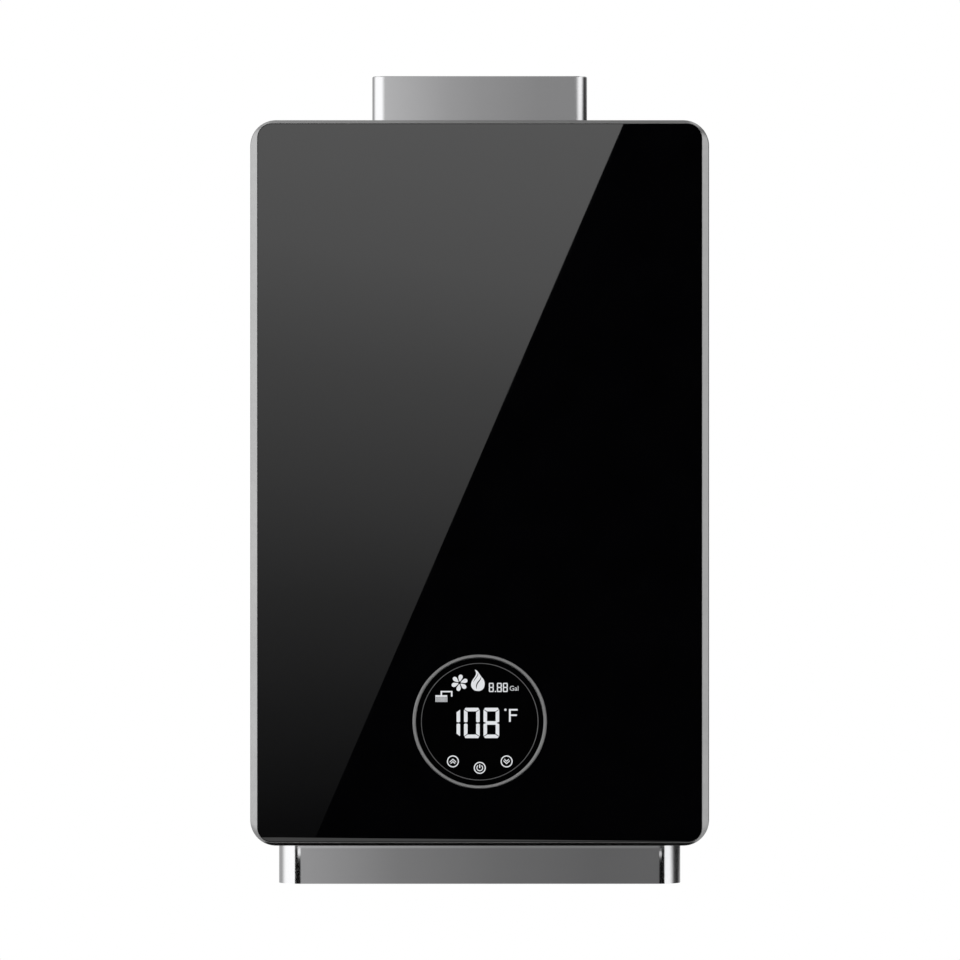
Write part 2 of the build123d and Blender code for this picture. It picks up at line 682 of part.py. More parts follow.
def bottom_plate():
    """Bottom plate with holes for the connections, drain and cord, and slots for combustion air."""
    plate = end_plate(CHASSIS_BOTTOM, 1)
    holes = [(x, STACK_Y, NECK_R + HOLE_GAP) for x in (-TUBE_X, 0.0, TUBE_X)]
    holes.append((DRAIN_X, STACK_Y, DRAIN_BOSS_R + HOLE_GAP))
    holes.append((GLAND_X, -GLAND_FROM_WALL, GLAND_NECK_R + HOLE_GAP))
    for x, y, r in holes:
        plate -= rod_z(r, x, y, CHASSIS_BOTTOM, FLOOR_Z)
    for side in (-1, 1):
        for i in range(AIR_SLOT_COUNT):
            x = side * (AIR_SLOT_FROM_MID + i * AIR_SLOT_PITCH)
            slot = Pos(x, -AIR_SLOT_FROM_WALL) * SlotOverall(AIR_SLOT_LENGTH, AIR_SLOT_W, rotation=90)
            plate -= slab_z(slot, CHASSIS_BOTTOM, FLOOR_Z)
    return plate


def skirt_outline(inset):
    """Skirt in plan: open at the back panel, with rounded front corners."""
    front_y = SKIRT_FRONT_Y + inset
    plan = Pos(0, (PANEL_Y + front_y) / 2) * Rectangle(SKIRT_W - 2 * inset, PANEL_Y - front_y)
    return fillet(plan.vertices().sort_by(Axis.Y)[:2], SKIRT_EDGE_R - inset)


def bottom_skirt():
    """Band below the cover, open underneath, that hides the pipe connections."""
    inside = skirt_outline(SHEET)
    band = slab_z(skirt_outline(0) - inside, COVER_BOTTOM - SKIRT_DROP, CHASSIS_BOTTOM)
    rim = inside - skirt_outline(SHEET + SKIRT_FLANGE)
    return band + slab_z(rim, CHASSIS_BOTTOM - SHEET, CHASSIS_BOTTOM)


def collar_plan(grow):
    w = COLLAR_W + 2 * grow
    depth = COLLAR_DEPTH + 2 * grow
    return Pos(0, COLLAR_MID_Y) * RectangleRounded(w, depth, COLLAR_EDGE_R + grow)


def flue_collar():
    """Pressed collar box on the top plate, with a round socket that takes the flue pipe."""
    box = slab_z(collar_plan(0), CHASSIS_TOP, COLLAR_TOP)
    box = chamfer(box.faces().sort_by(Axis.Z)[-1].edges(), COLLAR_BEVEL)
    collar = box + slab_z(collar_plan(COLLAR_FLANGE), CHASSIS_TOP, CHASSIS_TOP + SHEET)
    collar -= slab_z(collar_plan(-SHEET), CHASSIS_TOP, COLLAR_TOP - SHEET)
    socket_low = COLLAR_TOP - FLUE_SOCKET_LENGTH
    collar += rod_z(FLUE_SOCKET_R + SHEET, 0, COLLAR_MID_Y, socket_low, COLLAR_TOP - SHEET)
    return collar - rod_z(FLUE_SOCKET_R, 0, COLLAR_MID_Y, socket_low, COLLAR_TOP)


def stack_block(z0, z1, inset=0.0):
    """The plan of burner, chamber and exchanger, made solid between two heights."""
    half = STACK_W / 2 - inset
    return block(-half, half, STACK_BACK_Y - inset, STACK_FRONT_Y + inset, z0, z1)


def jacket_block(inset):
    """The chamber's outside or inside, with upright corners that the coil can bend round."""
    corner_r = COIL_BEND_R - TUBE_R - COIL_GAP - inset
    body = stack_block(CHAMBER_BASE, CORE_BASE, inset)
    return fillet(body.edges().filter_by(Axis.Z), corner_r)


def burner_bracket(side):
    face_x = side * STACK_W / 2
    outer_x = face_x + side * SHEET
    arm = block(face_x, outer_x, PANEL_Y, -BRACKET_REACH, BURNER_BASE, CHAMBER_BASE)
    foot_y = PANEL_Y - SHEET
    return arm + block(face_x, outer_x + side * END_FLANGE, PANEL_Y, foot_y, BURNER_BASE, CHAMBER_BASE)


def burner_brackets():
    """Two angle brackets that carry the burner box from the back panel."""
    return group(burner_bracket(side) for side in (-1, 1))


def burner_frame():
    """Open-topped burner box with a round mouth in front of every burner bar."""
    frame = stack_block(BURNER_BASE, CHAMBER_BASE) - stack_block(BURNER_BASE + SHEET, CHAMBER_BASE, SHEET)
    for x in BLADE_XS:
        frame -= rod_y(THROAT_R, x, THROAT_Z, STACK_FRONT_Y, STACK_FRONT_Y + SHEET)
    return frame


def blade_section(wall):
    """A burner bar's section in X and Z: straight foot, narrow waist, swollen head with a bevelled crown."""
    low = BURNER_BASE + SHEET
    rise = CHAMBER_BASE - BLADE_HEADROOM - low
    top = low + rise - wall
    half = BLADE_W / 2 - wall
    waist = BLADE_WAIST / 2 - wall
    foot = [(half, low + wall), (half, low + BLADE_FOOT_PART * rise), (waist, low + BLADE_WAIST_PART * rise)]
    head = [(half, low + BLADE_HEAD_PART * rise), (half, top - waist), (waist, top)]
    right = foot + head
    left = [(-x, z) for x, z in reversed(right)]
    return make_face(Polyline(*right, *left, close=True))


def burner_blade():
    """One pressed burner bar, hollow, with a mouth for gas and air and cross slots for the flame."""
    top = CHAMBER_BASE - BLADE_HEADROOM
    half = PORT_SPAN / 2
    back_y = STACK_BACK_Y - SHEET - BLADE_END_GAP
    front_y = STACK_FRONT_Y + SHEET
    bar = slab_y(blade_section(0), back_y, front_y)
    bar -= slab_y(blade_section(BLADE_WALL), back_y - BLADE_WALL, front_y + BLADE_WALL)
    for i in range(PORT_COUNT):
        y = front_y + (i + 0.5) * (back_y - front_y) / PORT_COUNT
        bar -= block(-half, half, y - PORT_W / 2, y + PORT_W / 2, top - BLADE_WALL, top)
    return bar - rod_y(THROAT_R, 0, THROAT_Z, front_y, front_y + BLADE_WALL)


def burner_blades():
    bar = burner_blade()
    return group(Pos(x, 0, 0) * bar for x in BLADE_XS)


def gas_manifold():
    """Gas rail across the front of the burner, held on a lug at each end."""
    half = STACK_W / 2 - RAIL_END_GAP
    rail = block(-half, half, RAIL_BACK_Y, RAIL_BACK_Y - RAIL_DEPTH, RAIL_BASE, RAIL_BASE + RAIL_H)
    rail = fillet(rail.edges().filter_by(Axis.X), RAIL_EDGE_R)
    lug_low = THROAT_Z - RAIL_LUG_H / 2
    lug_x = BLADE_XS[-1] + RAIL_LUG_GAP
    for side in (-1, 1):
        lug = block(side * lug_x, side * half, RAIL_BACK_Y, STACK_FRONT_Y, lug_low, lug_low + RAIL_LUG_H)
        rail += lug
    return rail


def gas_nozzle(x):
    step_y = RAIL_BACK_Y + NOZZLE_HEX_T
    place = Pos(x, THROAT_Z)
    body = slab_y(place * RegularPolygon(NOZZLE_HEX_R, 6), RAIL_BACK_Y, step_y)
    return body + slab_y(place * RegularPolygon(NOZZLE_R, 6), step_y, RAIL_BACK_Y + NOZZLE_LENGTH)


def gas_nozzles():
    """One injector for each burner bar, screwed into the rail."""
    return group(gas_nozzle(x) for x in BLADE_XS)


def gas_pipe():
    """Steel gas tube from the valve's side outlet to the underside of the rail."""
    z = FLOOR_Z + GAS_PIPE_RISE
    points = [
        (VALVE_W / 2, STACK_Y, z),
        (GAS_PIPE_X, STACK_Y, z),
        (GAS_PIPE_X, RAIL_MID_Y, z),
        (GAS_PIPE_X, RAIL_MID_Y, RAIL_BASE),
    ]
    return tube(points, GAS_PIPE_BEND_R, GAS_PIPE_R)


def electrode(x):
    """A ceramic rod through the chamber's front wall, with a wire tip over the burner."""
    tip_y = STACK_FRONT_Y + CHAMBER_WALL + ELECTRODE_IN
    rod = rod_y(ELECTRODE_R, x, ELECTRODE_Z, STACK_FRONT_Y - ELECTRODE_OUT, tip_y)
    rod += rod_y(ELECTRODE_COLLAR_R, x, ELECTRODE_Z, STACK_FRONT_Y - ELECTRODE_COLLAR_T, STACK_FRONT_Y)
    return rod + rod_y(ELECTRODE_WIRE_R, x, ELECTRODE_Z, tip_y, tip_y + ELECTRODE_WIRE_REACH)


def ignition_electrodes():
    return group(electrode(x) for x in (SPARK_X, SPARK_GROUND_X))


def flame_sensor():
    return electrode(FLAME_SENSOR_X)


def combustion_chamber():
    """Copper jacket between burner and exchanger, open at both ends."""
    jacket = jacket_block(0) - jacket_block(CHAMBER_WALL)
    for x in (SPARK_X, SPARK_GROUND_X, FLAME_SENSOR_X):
        hole_r = ELECTRODE_R + HOLE_GAP
        jacket -= rod_y(hole_r, x, ELECTRODE_Z, STACK_FRONT_Y, STACK_FRONT_Y + CHAMBER_WALL)
    return jacket


def coil_points():
    """The water tube's corners: up from the flow sensor, round the jacket, up to the exchanger's inlet."""
    front_y = STACK_FRONT_Y - COIL_GAP - TUBE_R
    back_y = STACK_BACK_Y + COIL_GAP + TUBE_R
    level = CHAMBER_BASE + COIL_LOW_MARGIN
    points = [(TUBE_X, STACK_Y, SENSOR_TOP), (TUBE_X, STACK_Y, level)]
    for _ in range(COIL_TURNS):
        points.append((TUBE_X, front_y, level))
        level += COIL_PITCH
        points += [(-TUBE_X, front_y, level), (-TUBE_X, back_y, level), (TUBE_X, back_y, level)]
    points.append((TUBE_X, CORE_TUBE_YS[0], level))
    points.append((TUBE_X, CORE_TUBE_YS[0], CORE_MID - HEADER_DROP))
    return points


def least_gap(path, r):
    """Smallest clear gap between stretches of a tube that lie well apart along it, on sampled points."""
    points = [path @ (i / GAP_SAMPLES) for i in range(GAP_SAMPLES + 1)]
    apart = math.ceil(3 * COIL_BEND_R * GAP_SAMPLES / path.length)
    gaps = []
    for i, point in enumerate(points):
        gaps += [(point - other).length - 2 * r for other in points[i + apart:]]
    return min(gaps)


def chamber_coil():
    """One copper tube wound round the jacket, which warms the water and cools the jacket."""
    points = coil_points()
    gap = least_gap(FilletPolyline(*points, radius=COIL_BEND_R), TUBE_R)
    print(f"chamber coil: least gap to itself {gap:.1f} mm")
    return tube(points, COIL_BEND_R, TUBE_R)


def exchanger_core():
    """Brazed fin block: fins above and below the tube layer, end plates and the inlet block."""
    core = stack_block(CORE_BASE, HOOD_BASE)
    pitch = (STACK_W - 2 * CORE_END) / FIN_COUNT
    back_y = STACK_BACK_Y - CORE_WALL
    front_y = STACK_FRONT_Y + CORE_WALL
    slots = []
    for i in range(FIN_COUNT):
        x0 = -STACK_W / 2 + CORE_END + i * pitch + FIN_T / 2
        x1 = x0 + pitch - FIN_T
        slots.append(block(x0, x1, back_y, front_y, HOOD_BASE - FIN_DEPTH, HOOD_BASE))
        slots.append(block(x0, x1, back_y, front_y, CORE_BASE, CORE_BASE + FIN_DEPTH))
    core -= slots
    bore_r = TUBE_R - TUBE_WALL
    core -= [rod_x(bore_r, y, CORE_MID, -STACK_W / 2, STACK_W / 2) for y in CORE_TUBE_YS]
    half_y = CORE_TUBE_PITCH / 2
    y = CORE_TUBE_YS[0]
    outer_x = TUBE_X + TUBE_R + HEADER_MARGIN
    header_low = CORE_MID - HEADER_DROP
    return core + block(STACK_W / 2, outer_x, y - half_y, y + half_y, header_low, CORE_MID + HEADER_RISE)


def return_bend(side, first):
    """Half-circle bend from one exchanger tube to the next, at one end plate."""
    x = side * STACK_W / 2
    y0 = CORE_TUBE_YS[first]
    r = CORE_TUBE_PITCH / 2
    path = ThreePointArc((x, y0, CORE_MID), (x + side * r, y0 + r, CORE_MID), (x, y0 + 2 * r, CORE_MID))
    return sweep(Plane(origin=path @ 0, z_dir=path % 0) * Circle(TUBE_R), path=path)


def return_bends():
    lefts = [return_bend(-1, i) for i in range(0, CORE_TUBE_COUNT - 1, 2)]
    rights = [return_bend(1, i) for i in range(1, CORE_TUBE_COUNT - 1, 2)]
    return group(lefts + rights)


def overheat_switch():
    """Snap-disc cut-out clipped to the front of the exchanger."""
    face_y = STACK_FRONT_Y - CUTOUT_TAB_T
    half_w = CUTOUT_TAB_W / 2
    half_h = CUTOUT_TAB_H / 2
    tab = block(-half_w, half_w, STACK_FRONT_Y, face_y, CORE_MID - half_h, CORE_MID + half_h)
    disc = rod_y(CUTOUT_R, 0, CORE_MID, STACK_FRONT_Y, face_y - CUTOUT_T)
    for side in (-1, 1):
        x = side * CUTOUT_R / 2
        x0 = x - CUTOUT_BLADE_T / 2
        low = CORE_MID - CUTOUT_BLADE_H / 2
        end_y = face_y - 2 * CUTOUT_T
        disc += block(x0, x0 + CUTOUT_BLADE_T, face_y - CUTOUT_T, end_y, low, low + CUTOUT_BLADE_H)
    return tab + disc


def rectangle_corners(x0, x1, y0, y1, z):
    return [(x0, y0, z), (x1, y0, z), (x1, y1, z), (x0, y1, z)]


def hood_funnel(inset):
    """The flat-sided funnel that gathers the exhaust from the exchanger's width into the plenum."""
    back_y = STACK_BACK_Y - inset
    half = STACK_W / 2 - inset
    plenum_half = PLENUM_W / 2 - inset
    base = rectangle_corners(-half, half, back_y, STACK_FRONT_Y + inset, HOOD_BASE)
    throat = rectangle_corners(FAN_X - plenum_half, FAN_X + plenum_half, back_y, FAN_BACK_Y + inset, HOOD_TOP)
    faces = [make_face(Polyline(*corners, close=True)) for corners in (base, throat)]
    for i in range(4):
        j = (i + 1) % 4
        faces.append(make_face(Polyline(base[i], base[j], throat[j], throat[i], close=True)))
    return Part(Solid(Shell([face.face() for face in faces])).wrapped)


def flue_hood():
    """Exhaust hood: funnel over the exchanger and an upright plenum behind the fan."""
    wall = CHAMBER_WALL
    top = FAN_Z + PLENUM_W / 2
    x0 = FAN_X - PLENUM_W / 2
    x1 = FAN_X + PLENUM_W / 2
    hood = hood_funnel(0) + block(x0, x1, STACK_BACK_Y, FAN_BACK_Y, HOOD_TOP, top)
    hood -= hood_funnel(wall)
    hood -= block(x0 + wall, x1 - wall, STACK_BACK_Y - wall, FAN_BACK_Y + wall, HOOD_TOP, top - wall)
    return hood - rod_y(SCROLL_INLET_R, FAN_X, FAN_Z, FAN_BACK_Y, FAN_BACK_Y + wall)


def scroll_outline(inset):
    """The fan's spiral in X and Z: three quarter arcs that widen step by step, then the outlet duct."""
    r1 = SCROLL_R - inset
    r2 = r1 + SCROLL_STEP
    r3 = r2 + SCROLL_STEP
    shifted_x = FAN_X + SCROLL_STEP
    upper = CenterArc((FAN_X, FAN_Z), r1, 90, 90)
    lower = CenterArc((shifted_x, FAN_Z), r2, 180, 90)
    rising = CenterArc((shifted_x, FAN_Z + SCROLL_STEP), r3, 270, 90)
    x0 = DUCT_X0 + inset
    x1 = shifted_x + r3
    tongue_z = FAN_Z + r1
    right = [(x1, FAN_Z + SCROLL_STEP), (x1, DUCT_TOP)]
    left = [(x0, DUCT_TOP), (x0, tongue_z), (FAN_X, tongue_z)]
    return make_face([upper, lower, rising, *Polyline(*right, *left).edges()])


def fan_scroll():
    """Spiral fan casing with its outlet duct, inlet hole and pressure tap."""
    scroll = slab_y(scroll_outline(0), FAN_BACK_Y, FAN_FRONT_Y)
    scroll -= slab_y(scroll_outline(SCROLL_WALL), FAN_BACK_Y - SCROLL_WALL, FAN_FRONT_Y)
    scroll -= rod_y(SCROLL_INLET_R, FAN_X, FAN_Z, FAN_BACK_Y, FAN_BACK_Y - SCROLL_WALL)
    return scroll + rod_x(NIPPLE_R, TAP_Y, SWITCH_Z, DUCT_X1, DUCT_X1 + NIPPLE_LENGTH)


def fan_front_plate():
    """Front wall of the fan casing, which carries the motor."""
    plate = slab_y(scroll_outline(0), FAN_FRONT_Y, MOTOR_FACE_Y)
    return plate - rod_y(MOTOR_BOSS_R + HOLE_GAP, FAN_X, FAN_Z, FAN_FRONT_Y, MOTOR_FACE_Y)


def fan_blade():
    """One forward-curved blade of the impeller, in X and Z round the fan's axis at the origin."""
    mid_r = (FAN_BLADE_INNER_R + FAN_R) / 2
    half_t = FAN_BLADE_T / 2
    low_r = FAN_BLADE_INNER_R + half_t
    top_r = FAN_R - half_t
    near = ThreePointArc((low_r, -half_t), (mid_r, FAN_BLADE_BOW - half_t), (top_r, -half_t))
    far = ThreePointArc((low_r, half_t), (mid_r, FAN_BLADE_BOW + half_t), (top_r, half_t))
    ends = [Line((low_r, -half_t), (low_r, half_t)), Line((top_r, -half_t), (top_r, half_t))]
    return make_face([near, far, *ends])


def fan_impeller():
    """Squirrel-cage impeller: hub, disc, curved blades and an end ring."""
    rear_y = FAN_DISC_Y + FAN_WIDTH
    wheel = slab_y(Circle(FAN_R), FAN_DISC_Y, FAN_DISC_Y + FAN_DISC_T)
    wheel += slab_y(Circle(FAN_R) - Circle(FAN_BLADE_INNER_R), rear_y - FAN_DISC_T, rear_y)
    wheel += slab_y(Circle(FAN_HUB_R), FAN_DISC_Y, FAN_DISC_Y + FAN_HUB_LENGTH)
    blades = [slab_y(Rot(Z=angle) * fan_blade(), FAN_DISC_Y, rear_y) for angle in ring_of(FAN_BLADES)]
    wheel += blades
    wheel -= slab_y(Circle(FAN_SHAFT_R + RUN_GAP), FAN_DISC_Y, FAN_DISC_Y + FAN_HUB_LENGTH)
    return Pos(FAN_X, 0, FAN_Z) * wheel


def fan_shaft():
    """Motor shaft, from its bearing in the motor to the end of the hub."""
    inner_y = MOTOR_END_Y + MOTOR_CAP + END_PLAY
    return rod_y(FAN_SHAFT_R, FAN_X, FAN_Z, inner_y, FAN_DISC_Y + FAN_HUB_LENGTH)


def fan_motor():
    """Round fan motor on the casing's front wall, grooved for cooling."""
    body = rod_y(MOTOR_R, FAN_X, FAN_Z, MOTOR_FACE_Y, MOTOR_END_Y)
    body = chamfer(body.faces().sort_by(Axis.Y)[0].edges(), MOTOR_EDGE)
    body += rod_y(MOTOR_BOSS_R, FAN_X, FAN_Z, FAN_FRONT_Y, MOTOR_FACE_Y)
    span = (MOTOR_FACE_Y - MOTOR_EDGE, MOTOR_END_Y + 2 * MOTOR_EDGE)
    for angle in ring_of(MOTOR_RIB_COUNT):
        half = MOTOR_RIB_W / 2
        groove = block(MOTOR_R - MOTOR_RIB_DEPTH, MOTOR_R + MOTOR_CAP, *span, -half, half)
        body -= Pos(FAN_X, 0, FAN_Z) * Rot(Y=angle + MOTOR_RIB_TURN) * groove
    return body - rod_y(FAN_SHAFT_R + RUN_GAP, FAN_X, FAN_Z, FAN_FRONT_Y, MOTOR_END_Y + MOTOR_CAP)


def pressure_switch():
    """Round wind-pressure switch on the back panel, with a hose nipple."""
    front_y = PANEL_Y - SWITCH_T
    body = rod_y(SWITCH_R, SWITCH_X, SWITCH_Z, PANEL_Y, front_y)
    body = chamfer(body.faces().sort_by(Axis.Y)[0].edges(), SWITCH_CAP_T / 4)
    cap_y = front_y - SWITCH_CAP_T
    body += rod_y(SWITCH_CAP_R, SWITCH_X, SWITCH_Z, front_y, cap_y)
    return body + rod_y(NIPPLE_R, SWITCH_X, SWITCH_Z, cap_y, cap_y - NIPPLE_LENGTH)


def pressure_hose():
    """Silicone hose from the fan's pressure tap to the switch, pushed over both nipples."""
    cap_y = PANEL_Y - SWITCH_T - SWITCH_CAP_T
    points = [(DUCT_X1, TAP_Y, SWITCH_Z), (SWITCH_X, TAP_Y, SWITCH_Z), (SWITCH_X, cap_y, SWITCH_Z)]
    hose = tube(points, HOSE_BEND_R, HOSE_R)
    bore_r = NIPPLE_R + HOSE_GAP
    hose -= rod_x(bore_r, TAP_Y, SWITCH_Z, DUCT_X1, DUCT_X1 + NIPPLE_LENGTH)
    return hose - rod_y(bore_r, SWITCH_X, SWITCH_Z, cap_y, cap_y - NIPPLE_LENGTH)


def threaded_stub(x):
    """Plain male connection that points down from a neck in the bottom plate, bevelled at its end."""
    stub = rod_z(THREAD_R, x, STACK_Y, THREAD_END, FLOOR_Z)
    stub = chamfer(stub.faces().sort_by(Axis.Z)[0].edges(), THREAD_BEVEL)
    return stub + rod_z(NECK_R, x, STACK_Y, CHASSIS_BOTTOM - NECK_DROP, FLOOR_Z)


def cold_inlet_fitting():
    """Cold water connection with its branch for the drain plug."""
    body = threaded_stub(TUBE_X) + rod_z(FITTING_R, TUBE_X, STACK_Y, FLOOR_Z, FITTING_TOP)
    arm_z = FLOOR_Z + DRAIN_ARM_RISE
    body += rod_x(DRAIN_ARM_R, STACK_Y, arm_z, DRAIN_X, TUBE_X)
    body += rod_z(DRAIN_BOSS_R, DRAIN_X, STACK_Y, DRAIN_BOSS_END, arm_z + DRAIN_BOSS_R + THREAD_BEVEL)
    body -= rod_z(DRAIN_BORE_R, DRAIN_X, STACK_Y, DRAIN_BOSS_END, DRAIN_BOSS_END + DRAIN_STEM + END_PLAY)
    return body - rod_z(FITTING_BORE_R, TUBE_X, STACK_Y, THREAD_END, FITTING_TOP)


def flow_sensor_body():
    """Flow sensor tube on the cold connection, with a flat for the Hall sensor."""
    body = rod_z(SENSOR_R, TUBE_X, STACK_Y, FITTING_TOP, SENSOR_TOP)
    pad_y = STACK_Y - SENSOR_R - SENSOR_PAD_OUT
    half = SENSOR_PAD_W / 2
    body += block(TUBE_X - half, TUBE_X + half, STACK_Y, pad_y, FITTING_TOP, SENSOR_STEP_Z)
    body -= rod_z(SENSOR_BORE_R, TUBE_X, STACK_Y, FITTING_TOP, SENSOR_STEP_Z)
    return body - rod_z(FITTING_BORE_R, TUBE_X, STACK_Y, SENSOR_STEP_Z, SENSOR_TOP)


def turbine_spider(base_z):
    """A hub on three arms that carries one pin of the turbine across the sensor's bore."""
    reach = SENSOR_BORE_R - SPIDER_GAP
    plan = Circle(SPIDER_HUB_R)
    for angle in ring_of(SPIDER_ARMS):
        plan += Rot(Z=angle) * Pos(reach / 2, 0) * Rectangle(reach, SPIDER_ARM_W)
    plan -= Circle(TURBINE_PIN_R + RUN_GAP)
    return slab_z(Pos(TUBE_X, STACK_Y) * plan, base_z, base_z + SPIDER_T)


def turbine_spiders():
    return group(turbine_spider(z) for z in (FITTING_TOP, SPIDER_TOP_BASE))


def flow_turbine():
    """Turbine wheel with slanted blades, on two pins."""
    rotor = slab_z(Circle(TURBINE_HUB_R), 0, TURBINE_LENGTH)
    drop = TURBINE_PIN_LENGTH
    rotor += slab_z(Circle(TURBINE_PIN_R), -drop, TURBINE_LENGTH + drop)
    blades = []
    for angle in ring_of(TURBINE_BLADES):
        blade = Rot(X=TURBINE_TILT) * Box(TURBINE_R, TURBINE_BLADE_T, 2 * TURBINE_LENGTH)
        blades.append(Rot(Z=angle) * Pos(TURBINE_R / 2, 0, TURBINE_LENGTH / 2) * blade)
    vanes = blades[0].fuse(*blades[1:]) & slab_z(Circle(TURBINE_R), 0, TURBINE_LENGTH)
    return Pos(TUBE_X, STACK_Y, TURBINE_BASE) * (rotor + vanes)


def hall_sensor():
    """Small pick-up on the flow sensor's flat that counts the turbine's turns."""
    back_y = STACK_Y - SENSOR_R - SENSOR_PAD_OUT
    half = HALL_W / 2
    low = FITTING_TOP + HALL_RISE
    return block(TUBE_X - half, TUBE_X + half, back_y, back_y - HALL_T, low, low + HALL_H)


def union_nut(x, base_z):
    nut = slab_z(Pos(x, STACK_Y) * RegularPolygon(UNION_R, 6), base_z, base_z + UNION_H)
    return nut - rod_z(TUBE_R + UNION_GAP, x, STACK_Y, base_z, base_z + UNION_H)


def pipe_unions():
    """Hexagon nuts where the copper tubes meet the flow sensor and the hot connection."""
    return group([union_nut(TUBE_X, SENSOR_TOP), union_nut(-TUBE_X, FITTING_TOP)])


def hot_pipe():
    """Copper tube from the exchanger's last tube down to the hot connection."""
    y = CORE_TUBE_YS[-1]
    low = BURNER_BASE - HOT_JOG / 2
    points = [
        (-TUBE_X, STACK_Y, FITTING_TOP),
        (-TUBE_X, STACK_Y, low),
        (HOT_X, y, low + HOT_JOG),
        (HOT_X, y, CORE_MID),
        (-STACK_W / 2, y, CORE_MID),
    ]
    return tube(points, HOT_PIPE_BEND_R, TUBE_R)


def hot_outlet_fitting():
    """Hot water connection with a side pad for the thermistor."""
    body = threaded_stub(-TUBE_X) + rod_z(FITTING_R, -TUBE_X, STACK_Y, FLOOR_Z, FITTING_TOP)
    mid_z = FLOOR_Z + FITTING_H / 2
    pad_x = -TUBE_X - FITTING_R - SENSOR_PAD_OUT
    body += rod_x(THERMISTOR_HEX_R, STACK_Y, mid_z, -TUBE_X, pad_x)
    return body - rod_z(FITTING_BORE_R, -TUBE_X, STACK_Y, THREAD_END, FITTING_TOP)


def outlet_thermistor():
    """Temperature sensor screwed into the hot connection's side."""
    mid_z = FLOOR_Z + FITTING_H / 2
    pad_x = -TUBE_X - FITTING_R - SENSOR_PAD_OUT
    end_x = pad_x - THERMISTOR_HEX_T
    hexagon = slab_x(Pos(STACK_Y, mid_z) * RegularPolygon(THERMISTOR_HEX_R, 6), end_x, pad_x)
    return hexagon + rod_x(THERMISTOR_TAIL_R, STACK_Y, mid_z, end_x - THERMISTOR_TAIL, end_x)


def drain_plug():
    """Drain plug with a fluted knob below the plate."""
    stem_r = DRAIN_BORE_R - DRAIN_GAP
    knob = Circle(DRAIN_HEAD_R)
    for angle in ring_of(DRAIN_FLUTES):
        knob -= Rot(Z=angle) * Pos(DRAIN_HEAD_R, 0) * Circle(DRAIN_FLUTE_R)
    place = Pos(DRAIN_X, STACK_Y)
    plug = slab_z(place * knob, DRAIN_BOSS_END - DRAIN_HEAD_H, DRAIN_BOSS_END)
    return plug + rod_z(stem_r, DRAIN_X, STACK_Y, DRAIN_BOSS_END, DRAIN_BOSS_END + DRAIN_STEM)


def gas_inlet_fitting():
    """Gas connection below the valve."""
    return threaded_stub(0) - rod_z(GAS_BORE_R, 0, STACK_Y, THREAD_END, FLOOR_Z)


def gas_valve_body():
    """Cast gas valve on the bottom plate, bored for its inlet, outlet and plunger."""
    half_w = VALVE_W / 2
    half_d = VALVE_DEPTH / 2
    body = block(-half_w, half_w, STACK_Y - half_d, STACK_Y + half_d, FLOOR_Z, VALVE_TOP)
    body = fillet(body.edges().filter_by(Axis.Z), VALVE_EDGE_R)
    body -= rod_z(GAS_BORE_R, 0, STACK_Y, FLOOR_Z, FLOOR_Z + GAS_PIPE_RISE)
    outlet_r = GAS_PIPE_R - TUBE_WALL
    body -= rod_x(outlet_r, STACK_Y, FLOOR_Z + GAS_PIPE_RISE, 0, half_w)
    return body - rod_z(PLUNGER_R + RUN_GAP, SOLENOID_X, STACK_Y, PLUNGER_BASE, VALVE_TOP)


def main_solenoid():
    """Coil of the main gas valve, with the blind bore that guides the plunger."""
    coil = rod_z(SOLENOID_R, SOLENOID_X, STACK_Y, VALVE_TOP, VALVE_TOP + SOLENOID_H)
    coil = chamfer(coil.faces().sort_by(Axis.Z)[-1].edges(), SOLENOID_CAP / 2)
    bore_top = VALVE_TOP + SOLENOID_H - SOLENOID_CAP
    return coil - rod_z(PLUNGER_R + RUN_GAP, SOLENOID_X, STACK_Y, VALVE_TOP, bore_top)


def valve_plunger():
    """Soft-iron plunger that opens the gas way when it lifts."""
    return rod_z(PLUNGER_R, SOLENOID_X, STACK_Y, PLUNGER_BASE, PLUNGER_BASE + PLUNGER_LENGTH)


def regulator_coil():
    """Coil of the proportional gas regulator, with its adjusting cap."""
    top = VALVE_TOP + REGULATOR_H
    coil = rod_z(REGULATOR_R, REGULATOR_X, STACK_Y, VALVE_TOP, top)
    coil = chamfer(coil.faces().sort_by(Axis.Z)[-1].edges(), SOLENOID_CAP / 2)
    cap = Pos(REGULATOR_X, STACK_Y) * RegularPolygon(REGULATOR_CAP_PART * REGULATOR_R, 6)
    return coil + slab_z(cap, top, top + REGULATOR_CAP_H)


def board_post_points():
    """Corners of the control board, as (x, z)."""
    inset = BOX_WALL + BOARD_GAP + BOARD_POST_R
    xs = (BOX_X0 + inset, BOX_X1 - inset)
    return [(x, z) for x in xs for z in (FLOOR_Z + inset, BOX_TOP - inset)]


def control_box():
    """Moulded tray that stands on the bottom plate, open to the front, with posts for the board."""
    wall = BOX_WALL
    floor_y = BOX_BACK_Y - wall
    box = block(BOX_X0, BOX_X1, BOX_BACK_Y, BOX_FRONT_Y, FLOOR_Z, BOX_TOP)
    box = fillet(box.edges().filter_by(Axis.Y), 2 * wall)
    box -= block(BOX_X0 + wall, BOX_X1 - wall, floor_y, BOX_FRONT_Y, FLOOR_Z + wall, BOX_TOP - wall)
    for x, z in board_post_points():
        box += rod_y(BOARD_POST_R, x, z, floor_y, floor_y - BOARD_POST_H)
    return box


